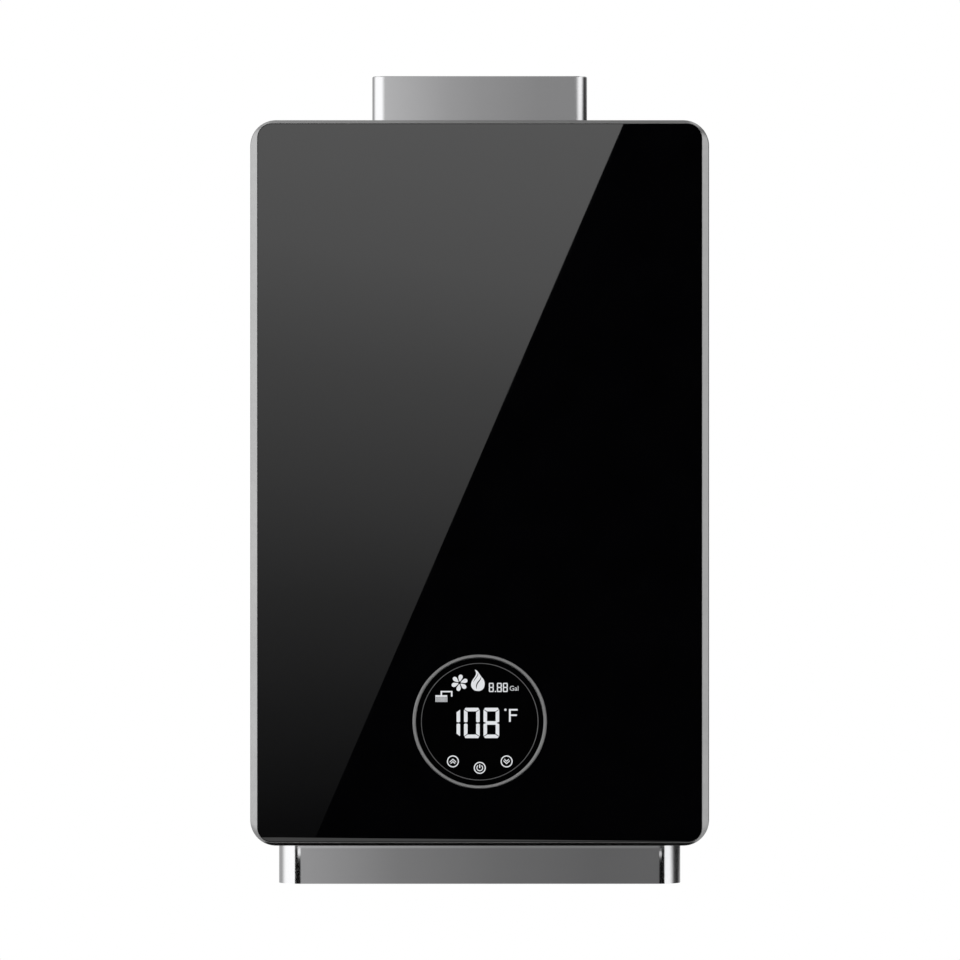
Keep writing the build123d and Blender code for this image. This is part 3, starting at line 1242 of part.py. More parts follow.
def control_board():
    """Main circuit board with relays, capacitors, a choke and a row of sockets."""
    back_y = BOX_BACK_Y - BOX_WALL - BOARD_POST_H
    face_y = back_y - BOARD_T
    inset = BOX_WALL + BOARD_GAP
    z0 = FLOOR_Z + inset
    board = block(BOX_X0 + inset, BOX_X1 - inset, back_y, face_y, z0, BOX_TOP - inset)
    mid_x = (BOX_X0 + BOX_X1) / 2
    for i in range(BOARD_COLUMNS):
        x = mid_x + (i - (BOARD_COLUMNS - 1) / 2) * BOARD_PITCH
        x0 = x - RELAY_W / 2
        x1 = x0 + RELAY_W
        board += block(x0, x1, face_y, face_y - RELAY_T, z0 + RELAY_RISE, z0 + RELAY_RISE + RELAY_H)
        board += block(x0, x1, face_y, face_y - SOCKET_T, z0 + SOCKET_RISE, z0 + SOCKET_RISE + SOCKET_H)
    middle_z = z0 + CAPACITOR_RISE
    for x in (mid_x - BOARD_PITCH, mid_x):
        board += rod_y(CAPACITOR_R, x, middle_z, face_y, face_y - CAPACITOR_T)
    half = CHOKE_W / 2
    x0 = mid_x + BOARD_PITCH - half
    return board + block(x0, x0 + CHOKE_W, face_y, face_y - RELAY_T, middle_z - half, middle_z + half)


def igniter_module():
    """Potted spark generator on the back panel, with two high-tension towers on its front."""
    low = ELECTRODE_Z - IGNITER_TOWER_INSET * IGNITER_H
    front_y = PANEL_Y - IGNITER_T
    body = block(SIDE_X1 - IGNITER_W, SIDE_X1, PANEL_Y, front_y, low, low + IGNITER_H)
    body = fillet(body.edges().filter_by(Axis.Z), BOX_WALL)
    x = SIDE_X1 - IGNITER_W / 2
    for z in (ELECTRODE_Z, low + (1 - IGNITER_TOWER_INSET) * IGNITER_H):
        body += rod_y(IGNITER_TOWER_R, x, z, front_y, front_y - IGNITER_TOWER_H)
    return body


def transformer():
    """Mains transformer: laminated core on a foot plate, with the winding bulging from its sides."""
    low = COVER_BOTTOM + TRANSFORMER_HEIGHT
    high = low + TRANSFORMER_H
    x0 = SIDE_X1 - TRANSFORMER_W
    foot_y = PANEL_Y - TRANSFORMER_FOOT
    front_y = PANEL_Y - TRANSFORMER_T
    core = block(x0, SIDE_X1, PANEL_Y, foot_y, low - 2 * TRANSFORMER_FOOT, high + 2 * TRANSFORMER_FOOT)
    core += block(x0, SIDE_X1, foot_y, front_y, low, high)
    bulge = TRANSFORMER_WINDING
    inset = TRANSFORMER_H / 5
    winding_back = foot_y - TRANSFORMER_T / 6
    winding_front = front_y + TRANSFORMER_T / 6
    return core + block(x0 - bulge, SIDE_X1 + bulge, winding_back, winding_front, low + inset, high - inset)


def cord_gland():
    """Bush in the bottom plate for the mains cord, with a nut above the plate."""
    y = -GLAND_FROM_WALL
    low = CHASSIS_BOTTOM - GLAND_HEAD_H
    gland = rod_z(GLAND_HEAD_R, GLAND_X, y, low, CHASSIS_BOTTOM)
    gland = chamfer(gland.faces().sort_by(Axis.Z)[0].edges(), GLAND_HEAD_H / 3)
    nut_top = FLOOR_Z + GLAND_NUT_H
    gland += rod_z(GLAND_NECK_R, GLAND_X, y, CHASSIS_BOTTOM, nut_top + GLAND_TAIL)
    gland += slab_z(Pos(GLAND_X, y) * RegularPolygon(GLAND_HEAD_R, 6), FLOOR_Z, nut_top)
    return gland - rod_z(GLAND_BORE_R, GLAND_X, y, low, nut_top + GLAND_TAIL)


def wiring_harness():
    """Leads from the control box to fan and gas valve, and from the igniter to the spark electrode."""
    box_y = (BOX_BACK_Y + BOX_FRONT_Y) / 2
    fan_x = BOX_X0 + WIRE_INSET
    fan_lead = [
        (fan_x, box_y, BOX_TOP),
        (fan_x, box_y, FAN_Z),
        (FAN_X - MOTOR_R, box_y, FAN_Z),
    ]
    valve_z = VALVE_TOP + SOLENOID_H / 2
    valve_lead = [
        (BOX_X1, box_y, valve_z),
        (SOLENOID_X, box_y, valve_z),
        (SOLENOID_X, STACK_Y - SOLENOID_R, valve_z),
    ]
    front_y = PAN_INSIDE_Y + WIRE_FRONT_GAP
    igniter_x = SIDE_X1 - IGNITER_W / 2
    spark_lead = [
        (igniter_x, PANEL_Y - IGNITER_T - IGNITER_TOWER_H, ELECTRODE_Z),
        (igniter_x, front_y, ELECTRODE_Z),
        (SPARK_X, front_y, ELECTRODE_Z),
        (SPARK_X, STACK_FRONT_Y - ELECTRODE_OUT, ELECTRODE_Z),
    ]
    leads = [tube(fan_lead, WIRE_BEND_R, WIRE_R), tube(valve_lead, WIRE_BEND_R, WIRE_R)]
    return group(leads + [tube(spark_lead, WIRE_TURN - WIRE_END, WIRE_R)])


NODES = [
    front_cover_shell,
    trim_frame,
    glass_panel,
    glass_tape,
    display_ring,
    display_lens,
    display_housing,
    display_board,
    cover_screws,
    back_panel,
    top_plate,
    bottom_plate,
    bottom_skirt,
    flue_collar,
    burner_brackets,
    burner_frame,
    burner_blades,
    gas_manifold,
    gas_nozzles,
    gas_pipe,
    ignition_electrodes,
    flame_sensor,
    combustion_chamber,
    chamber_coil,
    exchanger_core,
    return_bends,
    overheat_switch,
    flue_hood,
    fan_scroll,
    fan_front_plate,
    fan_impeller,
    fan_shaft,
    fan_motor,
    pressure_switch,
    pressure_hose,
    cold_inlet_fitting,
    flow_sensor_body,
    turbine_spiders,
    flow_turbine,
    hall_sensor,
    pipe_unions,
    hot_pipe,
    hot_outlet_fitting,
    outlet_thermistor,
    drain_plug,
    gas_inlet_fitting,
    gas_valve_body,
    main_solenoid,
    valve_plunger,
    regulator_coil,
    control_box,
    control_board,
    igniter_module,
    transformer,
    cord_gland,
    wiring_harness,
]


def main():
    os.makedirs("parts", exist_ok=True)
    for make in NODES:
        export_step(make(), f"parts/{make.__name__}.step")


main()
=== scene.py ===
"""Looks of a wall-hung propane tankless water heater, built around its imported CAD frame."""

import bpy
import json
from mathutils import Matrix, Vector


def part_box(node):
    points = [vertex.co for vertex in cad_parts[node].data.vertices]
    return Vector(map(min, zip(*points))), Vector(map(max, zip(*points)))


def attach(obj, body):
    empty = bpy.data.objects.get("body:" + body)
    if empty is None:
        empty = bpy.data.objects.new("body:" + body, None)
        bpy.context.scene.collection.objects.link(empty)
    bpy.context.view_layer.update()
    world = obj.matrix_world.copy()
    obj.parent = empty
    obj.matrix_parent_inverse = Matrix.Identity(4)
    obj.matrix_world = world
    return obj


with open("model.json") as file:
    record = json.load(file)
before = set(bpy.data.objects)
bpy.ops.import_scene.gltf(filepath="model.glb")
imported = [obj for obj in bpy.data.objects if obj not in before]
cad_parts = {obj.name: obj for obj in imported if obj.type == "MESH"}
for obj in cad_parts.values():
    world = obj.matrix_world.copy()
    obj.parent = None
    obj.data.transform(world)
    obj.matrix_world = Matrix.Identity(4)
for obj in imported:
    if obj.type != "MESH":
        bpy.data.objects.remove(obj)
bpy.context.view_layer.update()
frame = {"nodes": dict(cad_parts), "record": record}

import json
import logging
import math
from collections.abc import Iterable
from dataclasses import dataclass, field
from enum import Enum

import bmesh
import bpy
from mathutils import Matrix, Vector

log = logging.getLogger("heater")

Colour = tuple[float, float, float]
Point2 = tuple[float, float]
Point3 = tuple[float, float, float]
Bar = tuple[float, float, float, float]
Spot = tuple[Point2, float]
Row = tuple[Point3, Point3, float]
ScrewRing = tuple[float, tuple[int, ...]]
Socket = bpy.types.NodeSocket
Stretch = float | Point3

MM = 0.001
RIGHT = Vector((1.0, 0.0, 0.0))
FRONT = Vector((0.0, -1.0, 0.0))
UP = Vector((0.0, 0.0, 1.0))
# Thickness of the chassis sheets and of the controller's board, in millimetres.
SHEET = 1.2
BOARD_T = 1.6
# Height of a capital letter as a share of the size of its type.
CAPITAL = 0.69


class Grain(Enum):
    """Direction that the fine lines of a metal finish run in."""

    LEVEL = (6.0, 900.0, 1500.0)
    DEPTH = (1500.0, 6.0, 1500.0)
    NONE = (220.0, 220.0, 220.0)


class NodeSheet:
    """Lays out the nodes of one procedural material."""

    def __init__(self, name: str) -> None:
        """Start a material whose Principled shader is ready to be linked.

        Args:
            name: Name of the material.
        """
        self.material = bpy.data.materials.new(name)
        self.material.use_nodes = True
        self.nodes = self.material.node_tree.nodes
        self.links = self.material.node_tree.links
        self.shader = self.nodes["Principled BSDF"]

    def put(self, **values: object) -> None:
        """Set the shader's own sockets, named with underscores for spaces."""
        for key, value in values.items():
            self.shader.inputs[key.replace("_", " ")].default_value = value

    def feed(self, output: Socket, socket: str) -> None:
        """Link an output to one of the shader's sockets."""
        self.links.new(output, self.shader.inputs[socket])

    def place(self, stretch: Stretch = 1.0) -> Socket:
        """Object coordinates, stretched.

        Args:
            stretch: One factor, or a factor along each axis.

        Returns:
            The vector output of the mapping.
        """
        coords = self.nodes.new("ShaderNodeTexCoord")
        mapping = self.nodes.new("ShaderNodeMapping")
        scale = stretch if isinstance(stretch, tuple) else (stretch,) * 3
        mapping.inputs["Scale"].default_value = scale
        self.links.new(coords.outputs["Object"], mapping.inputs["Vector"])
        return mapping.outputs["Vector"]

    def axes(self) -> bpy.types.NodeOutputs:
        """Object coordinates, taken apart.

        Returns:
            The outputs X, Y and Z.
        """
        node = self.nodes.new("ShaderNodeSeparateXYZ")
        self.links.new(self.place(), node.inputs[0])
        return node.outputs

    def noise(self, stretch: Stretch, detail: float = 3.0, rough: float = 0.5) -> Socket:
        """Noise on stretched Object coordinates.

        Args:
            stretch: Waves per metre, the same all round or along each axis.
            detail: Octaves.
            rough: Strength of the finer octaves.

        Returns:
            The factor output, about 0 to 1.
        """
        node = self.nodes.new("ShaderNodeTexNoise")
        node.inputs["Scale"].default_value = 1.0
        node.inputs["Detail"].default_value = detail
        node.inputs["Roughness"].default_value = rough
        self.links.new(self.place(stretch), node.inputs["Vector"])
        return node.outputs[0]

    def cells(self, size: float) -> Socket:
        """Flat-coloured cells, as in zinc spangle.

        Args:
            size: Cells per metre.

        Returns:
            A random grey value per cell.
        """
        node = self.nodes.new("ShaderNodeTexVoronoi")
        node.inputs["Scale"].default_value = size
        self.links.new(self.place(), node.inputs["Vector"])
        grey = self.nodes.new("ShaderNodeSeparateColor")
        self.links.new(node.outputs["Color"], grey.inputs[0])
        return grey.outputs[0]

    def span(self, value: Socket, low: float, high: float, start: float = 0.3, end: float = 0.7) -> Socket:
        """Spread a value over a new range.

        Args:
            value: The input.
            low: Result at start.
            high: Result at end.
            start: Lower input value.
            end: Upper input value.

        Returns:
            The result output.
        """
        node = self.nodes.new("ShaderNodeMapRange")
        for key, number in (("From Min", start), ("From Max", end), ("To Min", low), ("To Max", high)):
            node.inputs[key].default_value = number
        self.links.new(value, node.inputs["Value"])
        return node.outputs["Result"]

    def rough(self, value: Socket, low: float, high: float, start: float = 0.3, end: float = 0.7) -> None:
        """Feed the roughness with a value that is spread over a new range."""
        self.feed(self.span(value, low, high, start, end), "Roughness")

    def combine(self, kind: str, first: Socket, second: Socket | float) -> Socket:
        """Combine a value with another value or with a number.

        Args:
            kind: Operation of the Math node.
            first: The first input.
            second: The second input.

        Returns:
            The result output.
        """
        node = self.nodes.new("ShaderNodeMath")
        node.operation = kind
        self.links.new(first, node.inputs[0])
        if isinstance(second, float):
            node.inputs[1].default_value = second
        else:
            self.links.new(second, node.inputs[1])
        return node.outputs[0]

    def mix(self, factor: Socket, first: Colour | Socket, second: Colour | Socket) -> Socket:
        """Blend two colours.

        Args:
            factor: 0 for the first colour, 1 for the second.
            first: Colour at 0.
            second: Colour at 1.

        Returns:
            The colour output.
        """
        node = self.nodes.new("ShaderNodeMix")
        node.data_type = "RGBA"
        self.links.new(factor, node.inputs[0])
        for colour, socket in ((first, node.inputs[6]), (second, node.inputs[7])):
            if isinstance(colour, tuple):
                socket.default_value = (*colour, 1.0)
            else:
                self.links.new(colour, socket)
        return node.outputs[2]

    def clouds(self, waves: float, detail: float, tones: tuple[Colour, Colour],
               socket: str = "Base Color") -> Socket:
        """Feed a socket with two colours that drift into each other.

        Args:
            waves: Clouds per metre.
            detail: Octaves.
            tones: The two colours.
            socket: The shader's socket.

        Returns:
            The noise behind them.
        """
        drift = self.noise(waves, detail)
        self.feed(self.mix(self.span(drift, 0.0, 1.0), *tones), socket)
        return drift

    def relief(self, height: Socket, depth: float, strength: float = 1.0) -> None:
        """Let a height pattern bump the surface.

        Args:
            height: Pattern from 0 to 1.
            depth: Height in metres.
            strength: How much of it shows.
        """
        node = self.nodes.new("ShaderNodeBump")
        node.inputs["Distance"].default_value = depth
        node.inputs["Strength"].default_value = strength
        self.links.new(height, node.inputs["Height"])
        self.feed(node.outputs["Normal"], "Normal")


def shade(colour: Colour, factor: float) -> Colour:
    """A colour made lighter or darker by a factor."""
    return tuple(min(channel * factor, 1.0) for channel in colour)


@dataclass(frozen=True)
class Finish:
    """A procedural finish, whose kinds each lay out their own nodes."""

    def build(self, name: str) -> bpy.types.Material:
        """Make the material.

        Args:
            name: Name of the material.

        Returns:
            The material.
        """
        sheet = NodeSheet(name)
        self.lay(sheet)
        return sheet.material

    def lay(self, sheet: NodeSheet) -> None:
        """Lay out the nodes on the sheet of a new material."""
        raise NotImplementedError


@dataclass(frozen=True)
class Metal(Finish):
    """Bare or plated metal with a fine grain.

    Attributes:
        colour: Mean colour.
        roughness: Mean roughness.
        spread: How far roughness varies along the grain.
        grain: Direction of the grain lines.
        tint: Darkest shade as a share of the colour.
        depth: Height of the grain in metres.
    """

    colour: Colour
    roughness: float
    spread: float = 0.08
    grain: Grain = Grain.NONE
    tint: float = 0.88
    depth: float = 0.00001

    def lay(self, sheet: NodeSheet) -> None:
        """Grain lines in roughness and relief, under clouds of tint.

        Args:
            sheet: Sheet of the new material.
        """
        sheet.put(Metallic=1.0)
        lines = sheet.noise(self.grain.value, detail=4.0, rough=0.6)
        sheet.clouds(waves=14.0, detail=3.0, tones=(shade(self.colour, self.tint), self.colour))
        sheet.rough(lines, self.roughness - self.spread, self.roughness + self.spread)
        sheet.relief(lines, self.depth, strength=0.35)


@dataclass(frozen=True)
class ZincSheet(Finish):
    """Zinc-coated steel sheet with a fine spangle.

    Attributes:
        colour: Mean colour.
        spangles: Crystals per metre.
        roughness: Mean roughness.
    """

    colour: Colour = (0.60, 0.62, 0.63)
    spangles: float = 190.0
    roughness: float = 0.38

    def lay(self, sheet: NodeSheet) -> None:
        """Crystals in colour and roughness, over faint waves of the sheet.

        Args:
            sheet: Sheet of the new material.
        """
        sheet.put(Metallic=1.0)
        crystals = sheet.cells(self.spangles)
        sheet.feed(sheet.mix(crystals, shade(self.colour, 0.86), shade(self.colour, 1.08)), "Base Color")
        sheet.rough(crystals, self.roughness - 0.07, self.roughness + 0.09, start=0.0, end=1.0)
        sheet.relief(sheet.noise(60.0, detail=4.0), depth=0.00004, strength=0.3)


@dataclass(frozen=True)
class Coat(Finish):
    """Paint, moulded plastic, rubber or ceramic: a coloured body with a fine skin.

    Attributes:
        colour: Mean colour.
        roughness: Mean roughness.
        skin: Grains of the skin per metre.
        depth: Height of the grains in metres.
        mottle: Darkest shade as a share of the colour.
        gloss: Specular level.
        metallic: Share of metal flake.
    """

    colour: Colour
    roughness: float
    skin: float = 900.0
    depth: float = 0.00003
    mottle: float = 0.9
    gloss: float = 0.5
    metallic: float = 0.0

    def lay(self, sheet: NodeSheet) -> None:
        """Fine grains in roughness and relief, under clouds of colour.

        Args:
            sheet: Sheet of the new material.
        """
        sheet.put(Specular_IOR_Level=self.gloss, Metallic=self.metallic)
        sheet.clouds(waves=22.0, detail=4.0, tones=(shade(self.colour, self.mottle), self.colour))
        grains = sheet.noise(self.skin, detail=2.0)
        sheet.rough(grains, self.roughness - 0.05, self.roughness + 0.05)
        sheet.relief(grains, self.depth, strength=0.4)


@dataclass(frozen=True)
class BlackGlass(Finish):
    """Clear tempered glass over a black back print, seen as one glossy black body.

    Attributes:
        colour: Colour of the print through the glass.
        roughness: Mean roughness.
    """

    colour: Colour = (0.0006, 0.0006, 0.0008)
    roughness: float = 0.006

    def lay(self, sheet: NodeSheet) -> None:
        """A trace of haze in colour and roughness.

        Args:
            sheet: Sheet of the new material.
        """
        sheet.put(IOR=1.5)
        haze = sheet.clouds(waves=35.0, detail=3.0, tones=(self.colour, shade(self.colour, 1.5)))
        sheet.rough(haze, self.roughness * 0.6, self.roughness * 1.4)


@dataclass(frozen=True)
class LitMark(Finish):
    """Printed or cut mark that is lit from behind.

    Attributes:
        colour: Colour of the light.
        level: Brightness.
    """

    colour: Colour = (0.95, 0.97, 1.0)
    level: float = 0.76

    def lay(self, sheet: NodeSheet) -> None:
        """Light with faint patches over a dark body.

        Args:
            sheet: Sheet of the new material.
        """
        sheet.put(Base_Color=(0.02, 0.02, 0.02, 1.0), Roughness=0.4, Emission_Strength=self.level)
        tones = (shade(self.colour, 0.93), self.colour)
        sheet.clouds(waves=420.0, detail=2.0, tones=tones, socket="Emission Color")


@dataclass(frozen=True)
class CircuitBoard(Finish):
    """Solder resist with copper tracks that show as paler lines.

    Attributes:
        colour: Colour of the resist.
        track: Colour over the tracks.
        pitch: Tracks per metre.
    """

    colour: Colour = (0.012, 0.085, 0.03)
    track: Colour = (0.03, 0.17, 0.06)
    pitch: float = 130.0

    def lay(self, sheet: NodeSheet) -> None:
        """Tracks in colour, and a varying gloss."""
        sheet.feed(self.paint(sheet), "Base Color")
        sheet.rough(sheet.noise(300.0), 0.25, 0.45)

    def paint(self, sheet: NodeSheet) -> Socket:
        """Resist and tracks.

        Args:
            sheet: Sheet of the new material.

        Returns:
            The colour output.
        """
        bricks = sheet.nodes.new("ShaderNodeTexBrick")
        bricks.inputs["Scale"].default_value = self.pitch
        bricks.inputs["Color1"].default_value = (*self.colour, 1.0)
        bricks.inputs["Color2"].default_value = (*shade(self.colour, 1.25), 1.0)
        bricks.inputs["Mortar"].default_value = (*self.track, 1.0)
        bricks.inputs["Mortar Size"].default_value = 0.06
        coords = sheet.nodes.new("ShaderNodeTexCoord")
        mapping = sheet.nodes.new("ShaderNodeMapping")
        mapping.inputs["Rotation"].default_value = (math.pi / 2, 0.0, 0.0)
        sheet.links.new(coords.outputs["Object"], mapping.inputs["Vector"])
        sheet.links.new(mapping.outputs["Vector"], bricks.inputs["Vector"])
        return bricks.outputs["Color"]


@dataclass(frozen=True)
class PopulatedBoard(CircuitBoard):
    """Board whose raised components take the colours of their rows.

    Attributes:
        node: CAD node of the board.
        sockets: Colour of the lowest row.
        capacitors: Colour of the middle row.
        relays: Colour of the top row.
        row_starts: Where the two upper rows start, as shares of the height.
    """

    node: str = "control_board"
    sockets: Colour = (0.74, 0.71, 0.62)
    capacitors: Colour = (0.016, 0.017, 0.022)
    relays: Colour = (0.018, 0.075, 0.26)
    row_starts: Point2 = (0.2, 0.52)

    def paint(self, sheet: NodeSheet) -> Socket:
        """Colour of the board, or of the component that stands on it.

        Args:
            sheet: Sheet of the new material.

        Returns:
            The colour output.
        """
        low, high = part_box(self.node)
        axes = sheet.axes()
        rows = sheet.nodes.new("ShaderNodeValToRGB")
        ramp = rows.color_ramp
        ramp.interpolation = "CONSTANT"
        ramp.elements[0].color = (*self.sockets, 1.0)
        ramp.elements[1].position = self.row_starts[0]
        ramp.elements[1].color = (*self.capacitors, 1.0)
        ramp.elements.new(self.row_starts[1]).color = (*self.relays, 1.0)
        sheet.links.new(sheet.span(axes["Z"], 0.0, 1.0, low.z, high.z), rows.inputs["Fac"])
        raised = sheet.combine("LESS_THAN", axes["Y"], high.y - 1.05 * BOARD_T * MM)
        return sheet.mix(raised, super().paint(sheet), rows.outputs["Color"])


@dataclass(frozen=True)
class Laminated(Finish):
    """Stacked iron sheets under varnish.

    Attributes:
        colour: Mean colour.
        sheets: Sheets per metre, stacked along Y.
    """

    colour: Colour = (0.09, 0.08, 0.075)
    sheets: float = 900.0

    def lay(self, sheet: NodeSheet) -> None:
        """Fine stripes in colour, roughness and relief.

        Args:
            sheet: Sheet of the new material.
        """
        wave = sheet.nodes.new("ShaderNodeTexWave")
        wave.bands_direction = "Y"
        wave.inputs["Scale"].default_value = self.sheets / math.tau
        sheet.links.new(sheet.place(), wave.inputs["Vector"])
        stripes = wave.outputs["Fac"]
        sheet.feed(sheet.mix(stripes, shade(self.colour, 0.6), shade(self.colour, 1.3)), "Base Color")
        sheet.rough(stripes, 0.35, 0.6, start=0.0, end=1.0)
        sheet.relief(stripes, depth=0.0001, strength=0.5)


@dataclass(frozen=True)
class FiredCopper(Finish):
    """Copper that the flame has darkened towards its foot.

    Attributes:
        node: CAD node whose height the change of colour spans.
        bright: Colour at the top.
        burnt: Colour at the foot.
    """

    node: str
    bright: Colour = (0.80, 0.42, 0.27)
    burnt: Colour = (0.36, 0.17, 0.15)

    def lay(self, sheet: NodeSheet) -> None:
        """Height and clouds together decide how far the copper is burnt.

        Args:
            sheet: Sheet of the new material.
        """
        low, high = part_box(self.node)
        sheet.put(Metallic=1.0)
        rise = sheet.span(sheet.axes()["Z"], -0.25, 1.0, low.z, high.z)
        clouds = sheet.span(sheet.noise(26.0, detail=5.0, rough=0.6), -0.25, 0.35)
        clear = sheet.span(sheet.combine("ADD", rise, clouds), 0.0, 1.0, 0.0, 1.0)
        sheet.feed(sheet.mix(clear, self.burnt, self.bright), "Base Color")
        sheet.rough(clear, 0.46, 0.28, start=0.0, end=1.0)
        sheet.relief(sheet.noise(220.0, detail=4.0, rough=0.6), depth=0.00001, strength=0.35)


FINISHES = {
    "silver_coat": Coat((0.60, 0.61, 0.62), 0.36, skin=1500.0, depth=0.00002, mottle=0.97, metallic=0.75),
    "bright_aluminium": Metal((0.36, 0.36, 0.36), 0.34, 0.04, Grain.NONE, 0.96),
    "ring_aluminium": Metal((0.29, 0.29, 0.29), 0.42, 0.05, Grain.NONE, 0.95),
    "black_glass": BlackGlass(),
    "smoked_lens": BlackGlass((0.0006, 0.0006, 0.0007), 0.012),
    "black_foam": Coat((0.02, 0.02, 0.021), 0.85, skin=1400.0, depth=0.0002, mottle=0.7),
    "stainless": Metal((0.66, 0.66, 0.67), 0.13, 0.03, Grain.LEVEL, 0.97),
    "galvanised": ZincSheet(),
    "fan_sheet": ZincSheet((0.44, 0.455, 0.47), 130.0, 0.42),
    "zinc": Metal((0.62, 0.63, 0.66), 0.28, 0.08, Grain.NONE, 0.85),
    "burner_steel": Metal((0.46, 0.44, 0.42), 0.40, 0.10, Grain.DEPTH, 0.75),
    "copper": Metal((0.80, 0.42, 0.27), 0.30, 0.10, Grain.NONE, 0.68),
    "brass": Metal((0.80, 0.60, 0.28), 0.26, 0.08, Grain.NONE, 0.82),
    "die_cast": Metal((0.58, 0.59, 0.60), 0.48, 0.10, Grain.NONE, 0.86, 0.00008),
    "motor_paint": Coat((0.05, 0.052, 0.056), 0.42, skin=1200.0),
    "coil_black": Coat((0.014, 0.014, 0.016), 0.45, skin=1000.0),
    "soft_iron": Metal((0.40, 0.40, 0.41), 0.38, 0.08, Grain.LEVEL, 0.8),
    "ceramic": Coat((0.82, 0.79, 0.71), 0.55, skin=1600.0, mottle=0.93),
    "dark_plastic": Coat((0.022, 0.022, 0.025), 0.50, skin=1300.0, depth=0.00005),
    "grey_plastic": Coat((0.22, 0.23, 0.24), 0.45, skin=1300.0),
    "white_plastic": Coat((0.78, 0.78, 0.75), 0.42, skin=1300.0, mottle=0.96),
    "laminations": Laminated(),
    "board_green": CircuitBoard(),
    "black_rubber": Coat((0.018, 0.018, 0.018), 0.70, skin=1500.0, depth=0.00006),
    "silicone": Coat((0.34, 0.065, 0.035), 0.55, skin=900.0),
    "wire_jacket": Coat((0.70, 0.68, 0.62), 0.60, skin=1200.0, mottle=0.9),
    "lit_mark": LitMark(),
    "dim_mark": LitMark(level=0.58),
    # Flat grey ring with cloudy patches: painted highlight of the bevel round the display.
    "bevel_highlight_paint": Coat((0.09, 0.09, 0.092), 0.5, mottle=0.4),
    "thread_brass": Metal((0.82, 0.62, 0.30), 0.22, 0.06, Grain.NONE, 0.85),
    "weld_mark": Metal((0.40, 0.39, 0.38), 0.45, 0.10, Grain.NONE, 0.7),
    "populated_board": PopulatedBoard(),
    "fired_copper": FiredCopper("combustion_chamber"),
    # Near-black colour for crosses on the cover screws: painted shade of their cross recesses.
    "recess_painted_shade": Coat((0.02, 0.02, 0.021), 0.5, mottle=0.6),
}


@dataclass
class FinishRack:
    """Makes each finish once, hands it out and dresses new pieces in it."""

    made: dict[str, bpy.types.Material] = field(default_factory=dict)

    def get(self, name: str) -> bpy.types.Material:
        """Hand out a finish.

        Args:
            name: Its name.

        Returns:
            The material.
        """
        if name not in self.made:
            self.made[name] = FINISHES[name].build(name)
        return self.made[name]

    def piece(self, mesh: bmesh.types.BMesh, name: str, finish: str, body: str, slot: str,
              smooth: float = 0.0) -> None:
        """Turn a bmesh into a dressed piece that rides on a CAD body.

        Args:
            mesh: The finished bmesh, in the row frame in metres.
            name: Name of the piece.
            finish: Its finish.
            body: CAD body that it rides on.
            slot: Not used.
            smooth: Angle in degrees under which edges are shaded smooth, 0 for none.
        """
        bmesh.ops.recalc_face_normals(mesh, faces=mesh.faces)
        data = bpy.data.meshes.new(name)
        mesh.to_mesh(data)
        mesh.free()
        data.materials.append(self.get(finish))
        piece = bpy.data.objects.new(name, data)
        bpy.context.scene.collection.objects.link(piece)
        if smooth:
            data.shade_smooth()
            data.set_sharp_from_angle(angle=math.radians(smooth))
        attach(piece, body)
        log.info("built %s", name)


@dataclass
class CadDressing:
    """Gives every CAD node its finish.

    Attributes:
        rack: The finishes.
        special: Nodes whose finish differs from their record slot's.
    """

    rack: FinishRack
    special: dict[str, str] = field(default_factory=lambda: {
        "display_ring": "ring_aluminium",
        "fan_scroll": "fan_sheet",
        "fan_front_plate": "fan_sheet",
        "control_board": "populated_board",
        "combustion_chamber": "fired_copper",
    })

    def dress(self) -> None:
        """Assign the materials, slot by slot."""
        for entry in frame["record"]["subparts"]:
            node = entry["node"]
            name = self.special.get(node, entry["material_slot"])
            mesh = frame["nodes"][node].data
            mesh.materials.clear()
            mesh.materials.append(self.rack.get(name))
            log.info("dressed %s in %s", node, name)


